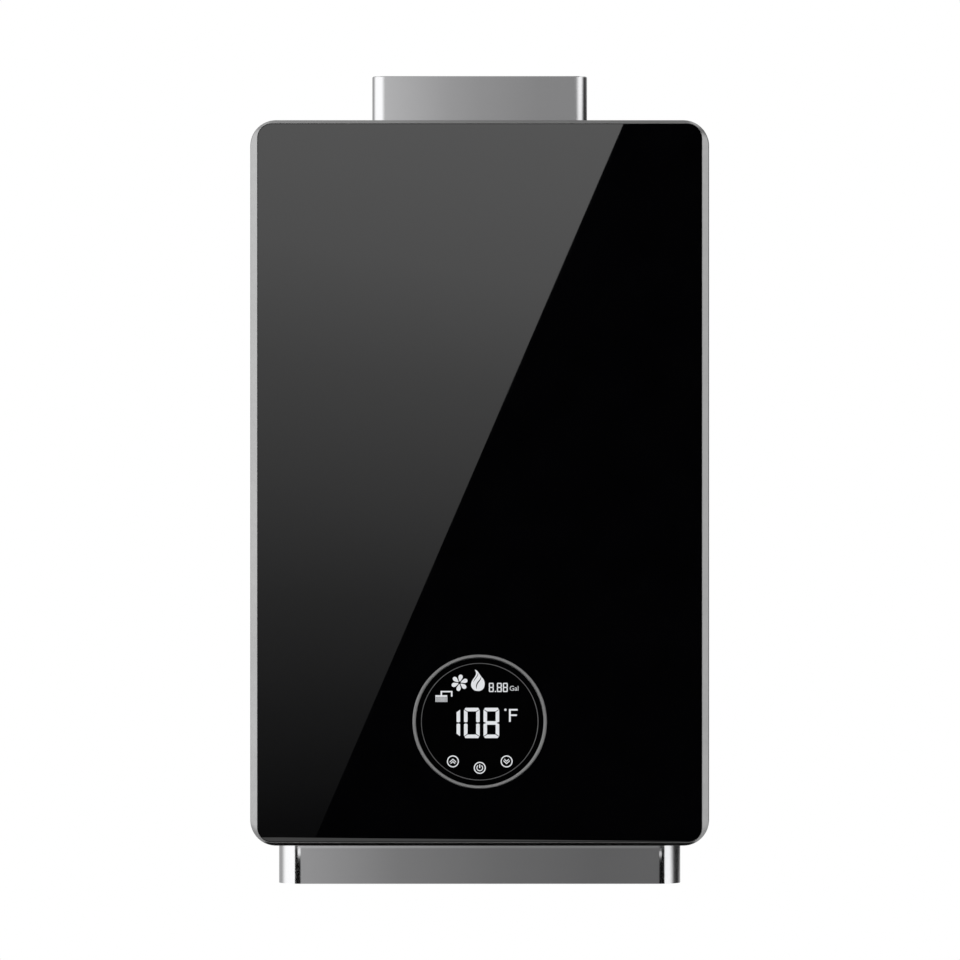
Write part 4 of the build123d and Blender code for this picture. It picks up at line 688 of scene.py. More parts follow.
@dataclass
class FlatWork:
    """Thin flat shapes on one upright plane, drawn in millimetres right and up from a centre.

    Attributes:
        centre_z: Height of the centre in metres.
        back_y: Plane that the shapes stand on.
        thick: Thickness in metres.
        mesh: The shapes drawn so far.
    """

    centre_z: float
    back_y: float
    thick: float
    mesh: bmesh.types.BMesh = field(default_factory=bmesh.new)

    def spot(self, point: Point2) -> Point3:
        """Where a drawn point lies in the row frame."""
        return (point[0] * MM, self.back_y, self.centre_z + point[1] * MM)

    def thicken(self, faces: list[bmesh.types.BMFace]) -> None:
        """Raise faces towards the front by the thickness.

        Args:
            faces: Flat faces of one shape.
        """
        raised = bmesh.ops.extrude_face_region(self.mesh, geom=faces)["geom"]
        corners = [item for item in raised if isinstance(item, bmesh.types.BMVert)]
        bmesh.ops.translate(self.mesh, vec=FRONT * self.thick, verts=corners)

    def polygon(self, points: Iterable[Point2]) -> None:
        """Add a filled polygon by its corners in order."""
        self.thicken([self.mesh.faces.new([self.mesh.verts.new(self.spot(point)) for point in points])])

    def bar(self, edges: Bar) -> None:
        """Add a rectangle by its left, lower, right and upper edge."""
        left, low, right, high = edges
        self.polygon([(left, low), (right, low), (right, high), (left, high)])

    def ring(self, at: Point2, outer: float, width: float, steps: int = 96, gap: float = 0.0) -> None:
        """Add a flat ring, whole or open at the top.

        Args:
            at: Its centre.
            outer: Outer radius.
            width: Width of the band.
            steps: Corners round the circle.
            gap: Angle in degrees that is left open at the top.
        """
        start = math.radians(90.0 - gap / 2)
        inner, rim = (Vector(self.spot((at[0] + r * math.cos(start), at[1] + r * math.sin(start))))
                      for r in (outer - width, outer))
        rise = FRONT * self.thick
        section = [self.mesh.verts.new(spot) for spot in (inner, rim, rim + rise, inner + rise)]
        face = self.mesh.faces.new(section)
        bmesh.ops.spin(self.mesh, geom=[face, *face.edges, *section], cent=self.spot(at), axis=-FRONT,
                       angle=math.radians(360.0 - gap), steps=steps, use_merge=not gap)
        if not gap:
            bmesh.ops.delete(self.mesh, geom=[face], context="FACES_ONLY")

    def disc(self, at: Point2, r: float) -> None:
        """Add a filled round spot.

        Args:
            at: Its centre.
            r: Its radius.
        """
        made = bmesh.ops.create_circle(self.mesh, cap_ends=True, radius=r * MM, segments=32)
        corners = made["verts"]
        upright = Matrix.Rotation(math.pi / 2, 3, "X")
        bmesh.ops.rotate(self.mesh, verts=corners, cent=(0, 0, 0), matrix=upright)
        bmesh.ops.translate(self.mesh, verts=corners, vec=self.spot(at))
        self.thicken(list({face for corner in corners for face in corner.link_faces}))

    def outline(self, points: list[Point2]) -> None:
        """Add a smooth filled shape drawn by control points.

        Args:
            points: Control points of a closed curve, in order.
        """
        curve = bpy.data.curves.new("outline", "CURVE")
        curve.dimensions = "2D"
        curve.fill_mode = "FRONT"
        spline = curve.splines.new("NURBS")
        spline.points.add(len(points) - 1)
        for corner, point in zip(spline.points, points):
            corner.co = (point[0] * MM, point[1] * MM, 0.0, 1.0)
        spline.order_u = 3
        spline.use_cyclic_u = True
        spline.resolution_u = 6
        self.flat_curve(curve)

    def words(self, text: str, at: Point2, height: float) -> None:
        """Add a short unit in plain letters.

        Args:
            text: The letters.
            at: Lower left corner.
            height: Height of the letters in millimetres.
        """
        curve = bpy.data.curves.new("words", "FONT")
        curve.body = text
        curve.size = height * MM / CAPITAL
        curve.offset = 0.00002
        self.flat_curve(curve, at)

    def flat_curve(self, curve: bpy.types.Curve, at: Point2 = (0.0, 0.0)) -> None:
        """Turn a flat curve upright and add it as a thick shape.

        Args:
            curve: A filled flat curve or text.
            at: Where its origin goes.
        """
        holder = bpy.data.objects.new("outline", curve)
        bpy.context.scene.collection.objects.link(holder)
        bpy.context.view_layer.update()
        graph = bpy.context.evaluated_depsgraph_get()
        shape = bpy.data.meshes.new_from_object(holder.evaluated_get(graph))
        shape.transform(Matrix.Translation(self.spot(at)) @ Matrix.Rotation(math.pi / 2, 4, "X"))
        known = set(self.mesh.faces)
        self.mesh.from_mesh(shape)
        corners = {corner for face in self.mesh.faces if face not in known for corner in face.verts}
        bmesh.ops.remove_doubles(self.mesh, verts=list(corners), dist=1e-7)
        self.thicken([face for face in self.mesh.faces if face not in known])
        bpy.data.objects.remove(holder)
        bpy.data.curves.remove(curve)
        bpy.data.meshes.remove(shape)


@dataclass(frozen=True)
class Numeral:
    """One seven-bar numeral, in millimetres.

    Attributes:
        left: Left edge.
        low: Lower edge.
        size: Width and height.
        bar: Thickness of a bar.
    """

    left: float
    low: float
    size: Point2
    bar: float

    def level(self, outer: float, side: int) -> list[Point2]:
        """A level bar along the top or the foot, with cut corners.

        Args:
            outer: Height of its outer edge.
            side: 1 for the top, -1 for the foot.

        Returns:
            Its corners.
        """
        left, right = self.left, self.left + self.size[0]
        cut, point, slope = 0.42 * self.bar, 0.12 * self.bar, 1.02 * self.bar
        corner, inner = outer - side * cut, outer - side * self.bar
        return [(left + cut, outer), (right - cut, outer), (right - point, corner),
                (right - slope, inner), (left + slope, inner), (left + point, corner)]

    def upright(self, across: int, up: int) -> list[Point2]:
        """An upright bar from the top or the foot to the middle.

        Args:
            across: 1 for the left side, -1 for the right.
            up: 1 for the upper half, -1 for the lower.

        Returns:
            Its corners.
        """
        mid = self.low + self.size[1] / 2
        outer = self.left if across > 0 else self.left + self.size[0]
        far = mid + up * self.size[1] / 2
        inner = outer + across * self.bar
        shoulder, tip = mid + up * 0.32 * self.bar, mid + up * 0.14 * self.bar
        return [(outer, far - up * 0.54 * self.bar), (inner, far - up * 1.24 * self.bar),
                (inner, shoulder), (outer + across * self.bar / 2, tip), (outer, shoulder)]

    def middle(self) -> list[Point2]:
        """The pointed bar across the middle.

        Returns:
            Its corners.
        """
        half, mid = self.bar / 2, self.low + self.size[1] / 2
        left, right = self.left + self.bar, self.left + self.size[0] - self.bar
        return [(left - half, mid), (left, mid + half), (right, mid + half),
                (right + half, mid), (right, mid - half), (left, mid - half)]

    def draw(self, marks: FlatWork, bars: str) -> None:
        """Add the lit bars.

        Args:
            marks: The drawing.
            bars: Letters a to g of the bars that are lit.
        """
        shapes = {
            "a": self.level(self.low + self.size[1], 1), "d": self.level(self.low, -1),
            "b": self.upright(-1, 1), "c": self.upright(-1, -1),
            "e": self.upright(1, -1), "f": self.upright(1, 1), "g": self.middle(),
        }
        for bar in bars:
            marks.polygon(shapes[bar])


@dataclass
class DisplayFace:
    """Lit marks of the round display: numerals, signs and three touch keys.

    Places are in millimetres right and up from the middle of the lens.

    Attributes:
        rack: The finishes.
        lift: How far the marks stand proud of the lens, in metres.
        slit_lift: How far the dark lines on the flame stand proud of it.
        digits: Left edges of the large numerals, each with the letters of its lit bars.
        digit_low: Their lower edge.
        digit_size: Their width and height.
        digit_bar: Thickness of their bars.
        counts: Left edges of the small numerals.
        count_low: Their lower edge.
        count_size: Their width and height.
        count_bar: Thickness of their bars.
        decimal: Middle and radius of the point in the counter.
        unit_at: Lower left corner of the counter's unit.
        unit_height: Height of its letters.
        degree: Middle and radius of the degree spot.
        letter: Strokes of the letter behind the large numerals.
        shower: Strokes of the shower head and its arm.
        jets: Number of jets below the shower head.
        first_jet: The jet on the left.
        jet_pitch: From jet to jet.
        fan_hub: Middle of the fan sign.
        petals: Number of its petals.
        petal_turn: Direction of the first petal in degrees.
        key_r: Outer radius of a key's ring.
        key_line: Width of that ring.
        arrow_keys: Middles of the arrow keys, each with 1 for up or -1 for down.
        arrows: Half width of each arrow head on a key, and how far its tip lies beyond the middle.
        arrow_line: Thickness of an arrow head.
        power_key: Middle of the power key.
        power_r: Outer radius of its open ring.
        power_line: Width of that ring.
        power_gap: Opening of that ring in degrees.
        power_stroke: The stroke in the opening.
        line_r: Outer radius of the fine grey ring round the display, a painted highlight of its bevel.
        line_w: Width of that line.
    """

    rack: FinishRack
    lift: float = 0.00006
    slit_lift: float = 0.000084
    digits: tuple[tuple[float, str], ...] = ((-25.4, "bc"), (-11.3, "abcdef"), (2.75, "abcdefg"))
    digit_low: float = -11.8
    digit_size: Point2 = (11.3, 21.8)
    digit_bar: float = 2.55
    counts: tuple[float, ...] = (6.6, 12.4, 16.7)
    count_low: float = 21.4
    count_size: Point2 = (3.5, 6.6)
    count_bar: float = 0.78
    decimal: Spot = ((11.3, 21.8), 0.5)
    unit_at: Point2 = (21.4, 22.4)
    unit_height: float = 3.4
    degree: Spot = ((18.55, 8.6), 0.9)
    letter: tuple[Bar, ...] = ((21.1, -0.1, 22.4, 9.2), (22.4, 8.0, 27.3, 9.2), (22.4, 4.1, 26.8, 5.3))
    shower: tuple[Bar, ...] = ((-31.9, 17.9, -23.4, 19.1), (-28.2, 19.1, -27.1, 22.2),
                               (-27.1, 21.2, -19.6, 22.2), (-20.7, 18.1, -19.6, 21.2))
    jets: int = 11
    first_jet: Bar = (-31.8, 14.2, -31.38, 17.8)
    jet_pitch: float = 0.8
    fan_hub: Point2 = (-14.5, 28.0)
    petals: int = 6
    petal_turn: float = -7.0
    key_r: float = 4.3
    key_line: float = 0.75
    arrow_keys: tuple[tuple[Point2, int], ...] = (((-19.3, -28.6), 1), ((19.4, -28.6), -1))
    arrows: tuple[Point2, ...] = ((2.3, 2.0), (1.6, 0.3))
    arrow_line: float = 0.85
    power_key: Point2 = (0.05, -33.25)
    power_r: float = 2.4
    power_line: float = 0.65
    power_gap: float = 70.0
    power_stroke: Bar = (-0.33, -33.4, 0.43, -30.7)
    line_r: float = 42.3
    line_w: float = 0.55

    def build(self) -> None:
        """Draw the marks, one piece for each finish."""
        low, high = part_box("display_lens")
        for name, finish, draw in (
            ("display_marks", "lit_mark", self.lit),
            ("faint_marks", "dim_mark", self.faint),
            ("flame_slits", "smoked_lens", self.slits),
            # The grey ring is a painted highlight of the display's bevel.
            ("display_bevel_highlight", "bevel_highlight_paint", self.line),
        ):
            marks = FlatWork((low.z + high.z) / 2, low.y, self.lift)
            draw(marks)
            self.rack.piece(marks.mesh, name, finish, "front_cover", "smoked_lens")

    def lit(self, marks: FlatWork) -> None:
        """Everything at full brightness.

        Args:
            marks: The drawing.
        """
        self.numerals(marks)
        self.flame(marks)
        self.fan(marks)
        self.spray(marks)
        self.keys(marks)

    def numerals(self, marks: FlatWork) -> None:
        """Water temperature with its letter, and the volume counter.

        Args:
            marks: The drawing.
        """
        for left, bars in self.digits:
            Numeral(left, self.digit_low, self.digit_size, self.digit_bar).draw(marks, bars)
        for stroke in self.letter:
            marks.bar(stroke)
        for left in self.counts:
            Numeral(left, self.count_low, self.count_size, self.count_bar).draw(marks, "abcdefg")
        marks.disc(*self.decimal)

    def faint(self, marks: FlatWork) -> None:
        """Degree spot and unit of volume."""
        marks.disc(*self.degree)
        marks.words("Gal", self.unit_at, self.unit_height)

    def flame(self, marks: FlatWork) -> None:
        """Flame sign, a drop whose tip leans to the left."""
        marks.outline([(-3.8, 37.7), (-1.9, 36.8), (-0.5, 34.9), (0.7, 33.0), (2.8, 30.7),
                       (3.8, 27.6), (3.0, 23.9), (0.7, 22.3), (-1.3, 22.1), (-3.8, 22.4),
                       (-6.1, 24.8), (-6.3, 28.0), (-4.7, 30.8), (-2.9, 33.2), (-2.5, 35.6)])

    def slits(self, marks: FlatWork) -> None:
        """Two fine dark lines that part the tongues of the flame.

        Args:
            marks: The drawing.
        """
        marks.thick = self.slit_lift
        marks.outline([(-1.3, 35.6), (-1.0, 33.6), (-2.4, 31.6), (-4.2, 29.2), (-4.7, 27.8),
                       (-4.2, 29.9), (-2.9, 31.8), (-1.6, 33.4)])
        marks.outline([(1.1, 32.9), (1.0, 31.0), (0.0, 29.2), (-1.5, 27.4), (-2.1, 25.6),
                       (-2.4, 22.9), (-2.8, 25.6), (-2.2, 27.8), (-0.7, 29.6), (0.5, 31.1)])

    def line(self, marks: FlatWork) -> None:
        """Fine grey ring round the display: a painted highlight where its bevel catches light."""
        marks.ring((0.0, 0.0), self.line_r, self.line_w, 160)

    def fan(self, marks: FlatWork) -> None:
        """Fan sign.

        Args:
            marks: The drawing.
        """
        petal = [(0.1, 0.5), (0.9, 2.3), (1.9, 3.9), (1.4, 5.8), (-0.5, 6.1), (-1.5, 4.4), (-0.9, 2.4)]
        for step in range(self.petals):
            turn = Matrix.Rotation(math.radians(self.petal_turn + 360 / self.petals * step), 2)
            marks.outline([tuple(Vector(self.fan_hub) + turn @ Vector(point)) for point in petal])

    def spray(self, marks: FlatWork) -> None:
        """Shower sign: head, bent arm and fine jets.

        Args:
            marks: The drawing.
        """
        for stroke in self.shower:
            marks.bar(stroke)
        left, low, right, high = self.first_jet
        for shift in (step * self.jet_pitch for step in range(self.jets)):
            marks.bar((left + shift, low, right + shift, high))

    def keys(self, marks: FlatWork) -> None:
        """Three ringed touch keys: up, power and down.

        Args:
            marks: The drawing.
        """
        for at, turn in self.arrow_keys:
            marks.ring(at, self.key_r, self.key_line)
            for half, tip in self.arrows:
                marks.polygon(self.chevron(at, turn, half, tip))
        marks.ring(self.power_key, self.key_r, self.key_line)
        marks.ring(self.power_key, self.power_r, self.power_line, steps=64, gap=self.power_gap)
        marks.bar(self.power_stroke)

    def chevron(self, at: Point2, turn: int, half: float, tip: float) -> list[Point2]:
        """One arrow head.

        Args:
            at: Centre of the key.
            turn: 1 for up, -1 for down.
            half: Half of its width.
            tip: How far its tip lies beyond the centre.

        Returns:
            The corners.
        """
        foot = tip - 0.9 * half
        drawn = [(-half, foot), (0.0, tip), (half, foot), (half, foot - self.arrow_line),
                 (0.0, tip - self.arrow_line), (-half, foot - self.arrow_line)]
        return [(at[0] + x, at[1] + turn * z) for x, z in drawn]


def span_of(node: str) -> tuple[Vector, Vector]:
    """Lower and upper corner of a CAD node, in millimetres."""
    low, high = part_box(node)
    return Vector(low) / MM, Vector(high) / MM


def middle_of(node: str) -> Vector:
    """Middle of a CAD node's box, in millimetres."""
    low, high = span_of(node)
    return (low + high) / 2


@dataclass
class SolidWork:
    """Small solid shapes gathered in one mesh, placed in millimetres in the row frame.

    Attributes:
        mesh: The shapes made so far.
    """

    mesh: bmesh.types.BMesh = field(default_factory=bmesh.new)

    def drum(self, start: Vector, end: Vector, first: float, second: float,
             corners: int = 28) -> list[bmesh.types.BMVert]:
        """Add a straight or tapered drum.

        Args:
            start: Middle of one end.
            end: Middle of the other end.
            first: Radius at the start.
            second: Radius at the end.
            corners: Corners round it.

        Returns:
            Its vertices.
        """
        axis = (end - start) * MM
        made = bmesh.ops.create_cone(self.mesh, cap_ends=True, segments=corners, radius1=first * MM,
                                     radius2=second * MM, depth=axis.length,
                                     matrix=self.facing(start * MM + axis / 2, axis))
        return made["verts"]

    def facing(self, at: Vector, out: Vector) -> Matrix:
        """Place in metres whose Z axis points in a direction."""
        return Matrix.Translation(at) @ out.to_track_quat("Z", "Y").to_matrix().to_4x4()

    def brick(self, middle: Vector, size: Point3) -> None:
        """Add a block by its middle and its size."""
        place = Matrix.Translation(middle * MM) @ Matrix.Diagonal((*(Vector(size) * MM), 1.0))
        bmesh.ops.create_cube(self.mesh, size=1.0, matrix=place)

    def loop(self, centre: Vector, axis: Vector, r: float, wire: float) -> None:
        """Add a closed ring of round wire.

        Args:
            centre: Its centre.
            axis: Direction through it.
            r: Radius to the middle of the wire.
            wire: Radius of the wire.
        """
        side = axis.orthogonal().normalized()
        place = self.facing((centre + side * r) * MM, axis.cross(side))
        made = bmesh.ops.create_circle(self.mesh, segments=12, radius=wire * MM, matrix=place)["verts"]
        edges = list({edge for corner in made for edge in corner.link_edges})
        bmesh.ops.spin(self.mesh, geom=[*made, *edges], cent=centre * MM, axis=axis, angle=math.tau,
                       steps=40, use_merge=True)

    def screw(self, at: Vector, out: Vector, r: float) -> None:
        """Add a hexagon screw head with a washer and a dished top.

        Args:
            at: Where its seat lies.
            out: Direction that it points in.
            r: Radius over the corners of the hexagon.
        """
        washer, head, lip, dish = 0.28 * r, 1.05 * r, 0.22 * r, 0.16 * r
        seat = at + out * washer
        self.drum(at, seat, 1.4 * r, 1.25 * r)
        corners = self.drum(seat, at + out * head, r, r, corners=6)
        top = max({face for corner in corners for face in corner.link_faces},
                  key=lambda face: face.calc_center_median().dot(out))
        bmesh.ops.inset_region(self.mesh, faces=[top], thickness=lip * MM, depth=-dish * MM)


@dataclass
class ChassisScrews:
    """Hexagon screws of the fan, the skirt, the burner, the valve, the board and the transformer.

    Lengths are in millimetres, and heads are given by their radius over the corners.

    Attributes:
        rack: The finishes.
        large_head: Heads on the burner and the valve.
        skirt_head: Heads under the skirt.
        fan_head: Heads on the fan.
        small_head: Heads on the board and the transformer.
        fan_rings: Distances from the fan's axis, each with the directions of its screws in degrees.
        rim_inset: From the skirt's outside to the screws in its rim.
        rim_front: Places of the screws along the front of the rim.
        rim_sides: Places of the screws along its sides.
        bracket_inset: From the ends of a burner bracket to its screws.
        bracket_y: Depth of those screws.
        valve_inset: From the edges of the valve to its screws.
        board_inset: From the edges of the board to its screws.
        foot: Thickness of the transformer's foot, and distance of the screws from its ends.
        work: The screws made so far.
    """

    rack: FinishRack
    large_head: float = 3.6
    skirt_head: float = 2.6
    fan_head: float = 2.3
    small_head: float = 2.0
    fan_rings: tuple[ScrewRing, ...] = ((48.4, (20, 150, 210, 270, 325)), (35.0, (90, 210, 330)))
    rim_inset: float = 6.0
    rim_front: tuple[float, ...] = (-95.0, -32.0, 32.0, 95.0)
    rim_sides: Point2 = (-92.0, -28.0)
    bracket_inset: float = 16.0
    bracket_y: float = -42.0
    valve_inset: float = 9.0
    board_inset: float = 4.0
    foot: float = 3.0
    work: SolidWork = field(default_factory=SolidWork)

    def build(self) -> None:
        """Add all of the screws as one piece."""
        self.fan()
        self.skirt()
        self.burner()
        valve_face = span_of("gas_valve_body")[0].y
        self.corners("gas_valve_body", self.valve_inset, valve_face, self.large_head)
        board_face = span_of("control_board")[1].y - BOARD_T
        self.corners("control_board", self.board_inset, board_face, self.small_head)
        self.transformer()
        self.rack.piece(self.work.mesh, "chassis_screws", "zinc", "casing", "zinc", 30.0)

    def corners(self, node: str, inset: float, y: float, head: float) -> None:
        """Screws near the four corners of a node's front.

        Args:
            node: The CAD node.
            inset: From its edges to the screws.
            y: Plane of their seats.
            head: Size of the heads.
        """
        low, high = span_of(node)
        for x in (low.x + inset, high.x - inset):
            for z in (low.z + inset, high.z - inset):
                self.work.screw(Vector((x, y, z)), FRONT, head)

    def fan(self) -> None:
        """Screws round the fan's front wall and round its motor."""
        axis = middle_of("fan_motor")
        face_y = span_of("fan_front_plate")[0].y
        for reach, angles in self.fan_rings:
            for angle in map(math.radians, angles):
                at = Vector((axis.x + reach * math.cos(angle), face_y, axis.z + reach * math.sin(angle)))
                self.work.screw(at, FRONT, self.fan_head)

    def skirt(self) -> None:
        """Screws from below that hold the skirt's rim to the bottom plate."""
        low, high = span_of("bottom_skirt")
        spots = [(x, low.y + self.rim_inset) for x in self.rim_front]
        spots += [(side * (high.x - self.rim_inset), y) for side in (-1, 1) for y in self.rim_sides]
        for x, y in spots:
            self.work.screw(Vector((x, y, high.z - SHEET)), -UP, self.skirt_head)

    def burner(self) -> None:
        """Screws through the burner's side brackets."""
        low, high = span_of("burner_frame")
        for side in (-1, 1):
            for z in (low.z + self.bracket_inset, high.z - self.bracket_inset):
                at = Vector((side * (high.x + SHEET), self.bracket_y, z))
                self.work.screw(at, RIGHT * side, self.large_head)

    def transformer(self) -> None:
        """Screws through both ends of the transformer's foot plate."""
        low, high = span_of("transformer")
        for z in (low.z + self.foot, high.z - self.foot):
            at = Vector((middle_of("transformer").x, high.y - self.foot, z))
            self.work.screw(at, FRONT, self.small_head)


@dataclass
class CoverScrewRecessShade:
    """Painted shade in the cross recesses of the cover's side screws: near-black crosses laid on the
    heads.

    Attributes:
        rack: The finishes.
        length: Length of each arm of the cross in millimetres, from end to end.
        width: Width of the arms.
        thick: Thickness of both arms, the second a little proud of the first.
    """

    rack: FinishRack
    length: float = 4.6
    width: float = 1.0
    thick: Point2 = (0.1, 0.12)

    def build(self) -> None:
        """Paint the shade of the cross recess on all four heads."""
        low, high = span_of("cover_screws")
        y = (low.y + high.y) / 2
        radius = (high.y - low.y) / 2
        work = SolidWork()
        for x in (low.x, high.x):
            for z in (low.z + radius, high.z - radius):
                # Two thin near-black bars per head: painted shade where the cross recess lies.
                work.brick(Vector((x, y, z)), (self.thick[0], self.length, self.width))
                work.brick(Vector((x, y, z)), (self.thick[1], self.width, self.length))
        self.rack.piece(work.mesh, "cover_screw_recess_shade", "recess_painted_shade", "front_cover", "zinc")


@dataclass
class PipeThreads:
    """Pipe threads on the gas and water connections, in millimetres.

    Attributes:
        rack: The finishes.
        stub_r: Radius of the plain stubs.
        nut_half: Half of the width of the water fittings' hexagons.
        lead_in: Plain length at the open end.
        pitch: Rise per turn.
        turns: Number of turns.
        crest: How far the crests stand out.
        sunk: How far the ridge's root lies inside the stub.
        half: Half of the ridge's width at its root.
        steps: Steps per turn.
    """

    rack: FinishRack
    stub_r: float = 10.48
    nut_half: float = 15.0
    lead_in: float = 2.4
    pitch: float = 1.814
    turns: int = 9
    crest: float = 0.5
    sunk: float = 0.06
    half: float = 0.6
    steps: int = 30

    def build(self) -> None:
        """Wind one ridge round each connection."""
        mesh = bmesh.new()
        gas = middle_of("gas_inlet_fitting")
        cold, hot = (span_of(node) for node in ("cold_inlet_fitting", "hot_outlet_fitting"))
        start = hot[0].z + self.lead_in
        for x in (cold[1].x - self.nut_half, hot[1].x - self.nut_half, gas.x):
            root, tip = x + self.stub_r - self.sunk, x + self.stub_r + self.crest
            profile = [(root, start - self.half), (tip, start), (root, start + self.half)]
            face = mesh.faces.new([mesh.verts.new((px * MM, gas.y * MM, pz * MM)) for px, pz in profile])
            bmesh.ops.spin(mesh, geom=[face, *face.edges, *face.verts], cent=(x * MM, gas.y * MM, 0.0),
                           axis=UP, dvec=UP * (self.pitch / self.steps * MM),
                           angle=math.tau * self.turns, steps=self.turns * self.steps)
        self.rack.piece(mesh, "pipe_threads", "thread_brass", "casing", "brass", 40.0)


@dataclass
class SpotWelds:
    """Weld marks on the back panel where the end plates and the burner's brackets are joined to it.

    Attributes:
        rack: The finishes.
        proud: How far the marks stand out, in metres.
        pitch: From mark to mark along the end plates, in millimetres.
        each_side: Marks on either side of the middle one.
        foot_inset: From the outside of a bracket's foot to its marks.
        end_inset: From the ends of a foot to its outer marks.
        spot_r: Radius of the pressed spot.
        halo_r: Radius of the tinted ring round it.
        halo_w: Width of that ring.
    """

    rack: FinishRack
    proud: float = 0.00005
    pitch: int = 32
    each_side: int = 4
    foot_inset: float = 6.0
    end_inset: float = 12.0
    spot_r: float = 1.7
    halo_r: float = 3.1
    halo_w: float = 0.55

    def build(self) -> None:
        """Mark all welds."""
        marks = FlatWork(0.0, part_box("back_panel")[1].y, -self.proud)
        columns = [self.pitch * step for step in range(-self.each_side, self.each_side + 1)]
        spots = [(x, middle_of(node).z) for x in columns for node in ("top_plate", "bottom_plate")]
        low, high = span_of("burner_brackets")
        heights = (low.z + self.end_inset, (low.z + high.z) / 2, high.z - self.end_inset)
        spots += [(side * (high.x - self.foot_inset), z) for side in (-1, 1) for z in heights]
        for spot in spots:
            marks.disc(spot, self.spot_r)
            marks.ring(spot, self.halo_r, self.halo_w, 32)
        self.rack.piece(marks.mesh, "spot_welds", "weld_mark", "casing", "galvanised")


@dataclass(frozen=True)
class Boot:
    """Tapered boot at the end of a lead, in millimetres.

    Attributes:
        wide: Radius where it sits on the terminal.
        narrow: Radius where the lead leaves it.
        over: How far it reaches over the terminal.
        past: How far it reaches along the lead.
    """

    wide: float
    narrow: float
    over: float
    past: float

    def fit(self, work: SolidWork, at: Vector, out: Vector) -> None:
        """Add the boot to a mesh, at a terminal's end and along the lead."""
        work.drum(at - out * self.over, at + out * self.past, self.wide, self.narrow)


@dataclass
class LeadFittings:
    """Boots and ties of the leads, and clips of the pressure hose, in millimetres.

    Attributes:
        rack: The finishes.
        lead_inset: From the left side of the controller's box to the fan lead.
        box_boot: Boot at the controller's box.
        motor_boot: Boot at the fan motor.
        coil_boot: Boot at the valve's coil.
        tower_boot: Boot on the igniter.
        spark_boot: Boot on the electrode.
        electrode_r: Radius of the electrode's collar.
        tie_r: Radius of a tie's band.
        tie_half: Half of the band's width.
        tie_head: Size of a tie's head.
        tie_out: From the lead's middle to the middle of the head.
        tie_heights: Heights of the ties.
        hose_r: Radius of the pressure hose.
        clip_r: Radius of a clip to the middle of its wire.
        clip_wire: Radius of that wire.
        clip_steps: Distances of a clip's two turns from the end of the hose.
    """

    rack: FinishRack
    lead_inset: float = 8.0
    box_boot: Boot = Boot(4.2, 2.9, 0.0, 7.0)
    motor_boot: Boot = Boot(4.2, 2.9, 0.5, 9.0)
    coil_boot: Boot = Boot(4.2, 2.9, 0.3, 8.0)
    tower_boot: Boot = Boot(6.2, 3.2, 4.0, 9.0)
    spark_boot: Boot = Boot(4.3, 3.1, 6.5, 2.2)
    electrode_r: float = 4.8
    tie_r: float = 2.7
    tie_half: float = 1.2
    tie_head: Point3 = (3.4, 2.2, 3.2)
    tie_out: float = 3.4
    tie_heights: tuple[float, ...] = (-384.0, -304.0, -224.0, -144.0)
    hose_r: float = 4.0
    clip_r: float = 4.3
    clip_wire: float = 0.45
    clip_steps: Point2 = (5.0, 6.6)

    def build(self) -> None:
        """Add boots, ties and clips."""
        self.rubber_boots()
        self.silicone_boots()
        self.ties()
        self.clips()

    def fan_lead(self) -> Point2:
        """Where the upright part of the fan lead runs, as x and y."""
        return span_of("control_box")[0].x + self.lead_inset, middle_of("control_box").y

    def rubber_boots(self) -> None:
        """Boots of the fan lead and the valve lead, at both of their ends."""
        box = span_of("control_box")[1]
        motor, coil = middle_of("fan_motor"), middle_of("main_solenoid")
        x, y = self.fan_lead()
        work = SolidWork()
        self.box_boot.fit(work, Vector((x, y, box.z)), UP)
        self.motor_boot.fit(work, Vector((span_of("fan_motor")[0].x, y, motor.z)), -RIGHT)
        self.box_boot.fit(work, Vector((box.x, y, coil.z)), RIGHT)
        self.coil_boot.fit(work, Vector((coil.x, span_of("main_solenoid")[0].y, coil.z)), FRONT)
        self.rack.piece(work.mesh, "lead_boots", "black_rubber", "casing", "black_rubber", 40.0)

    def silicone_boots(self) -> None:
        """Boots of the spark lead, on the igniter's tower and on the electrode."""
        low, high = span_of("ignition_electrodes")
        z = (low.z + high.z) / 2
        tower = Vector((middle_of("igniter_module").x, span_of("igniter_module")[0].y, z))
        work = SolidWork()
        self.tower_boot.fit(work, tower, FRONT)
        self.spark_boot.fit(work, Vector((high.x - self.electrode_r, low.y, z)), FRONT)
        self.rack.piece(work.mesh, "spark_boots", "silicone", "casing", "silicone", 40.0)

    def ties(self) -> None:
        """Nylon ties round the long fan lead."""
        x, y = self.fan_lead()
        half = UP * self.tie_half
        work = SolidWork()
        for z in self.tie_heights:
            middle = Vector((x, y, z))
            work.drum(middle - half, middle + half, self.tie_r, self.tie_r)
            work.brick(middle + FRONT * self.tie_out, self.tie_head)
        self.rack.piece(work.mesh, "lead_ties", "white_plastic", "casing", "white_plastic", 40.0)

    def clips(self) -> None:
        """Wire clips at both ends of the pressure hose."""
        low, high = span_of("pressure_hose")
        z = (low.z + high.z) / 2
        work = SolidWork()
        for step in self.clip_steps:
            for at, axis in (
                ((low.x + step, low.y + self.hose_r, z), RIGHT),
                ((high.x - self.hose_r, high.y - step, z), -FRONT),
            ):
                work.loop(Vector(at), axis, self.clip_r, self.clip_wire)
        self.rack.piece(work.mesh, "hose_clips", "zinc", "casing", "zinc", 60.0)


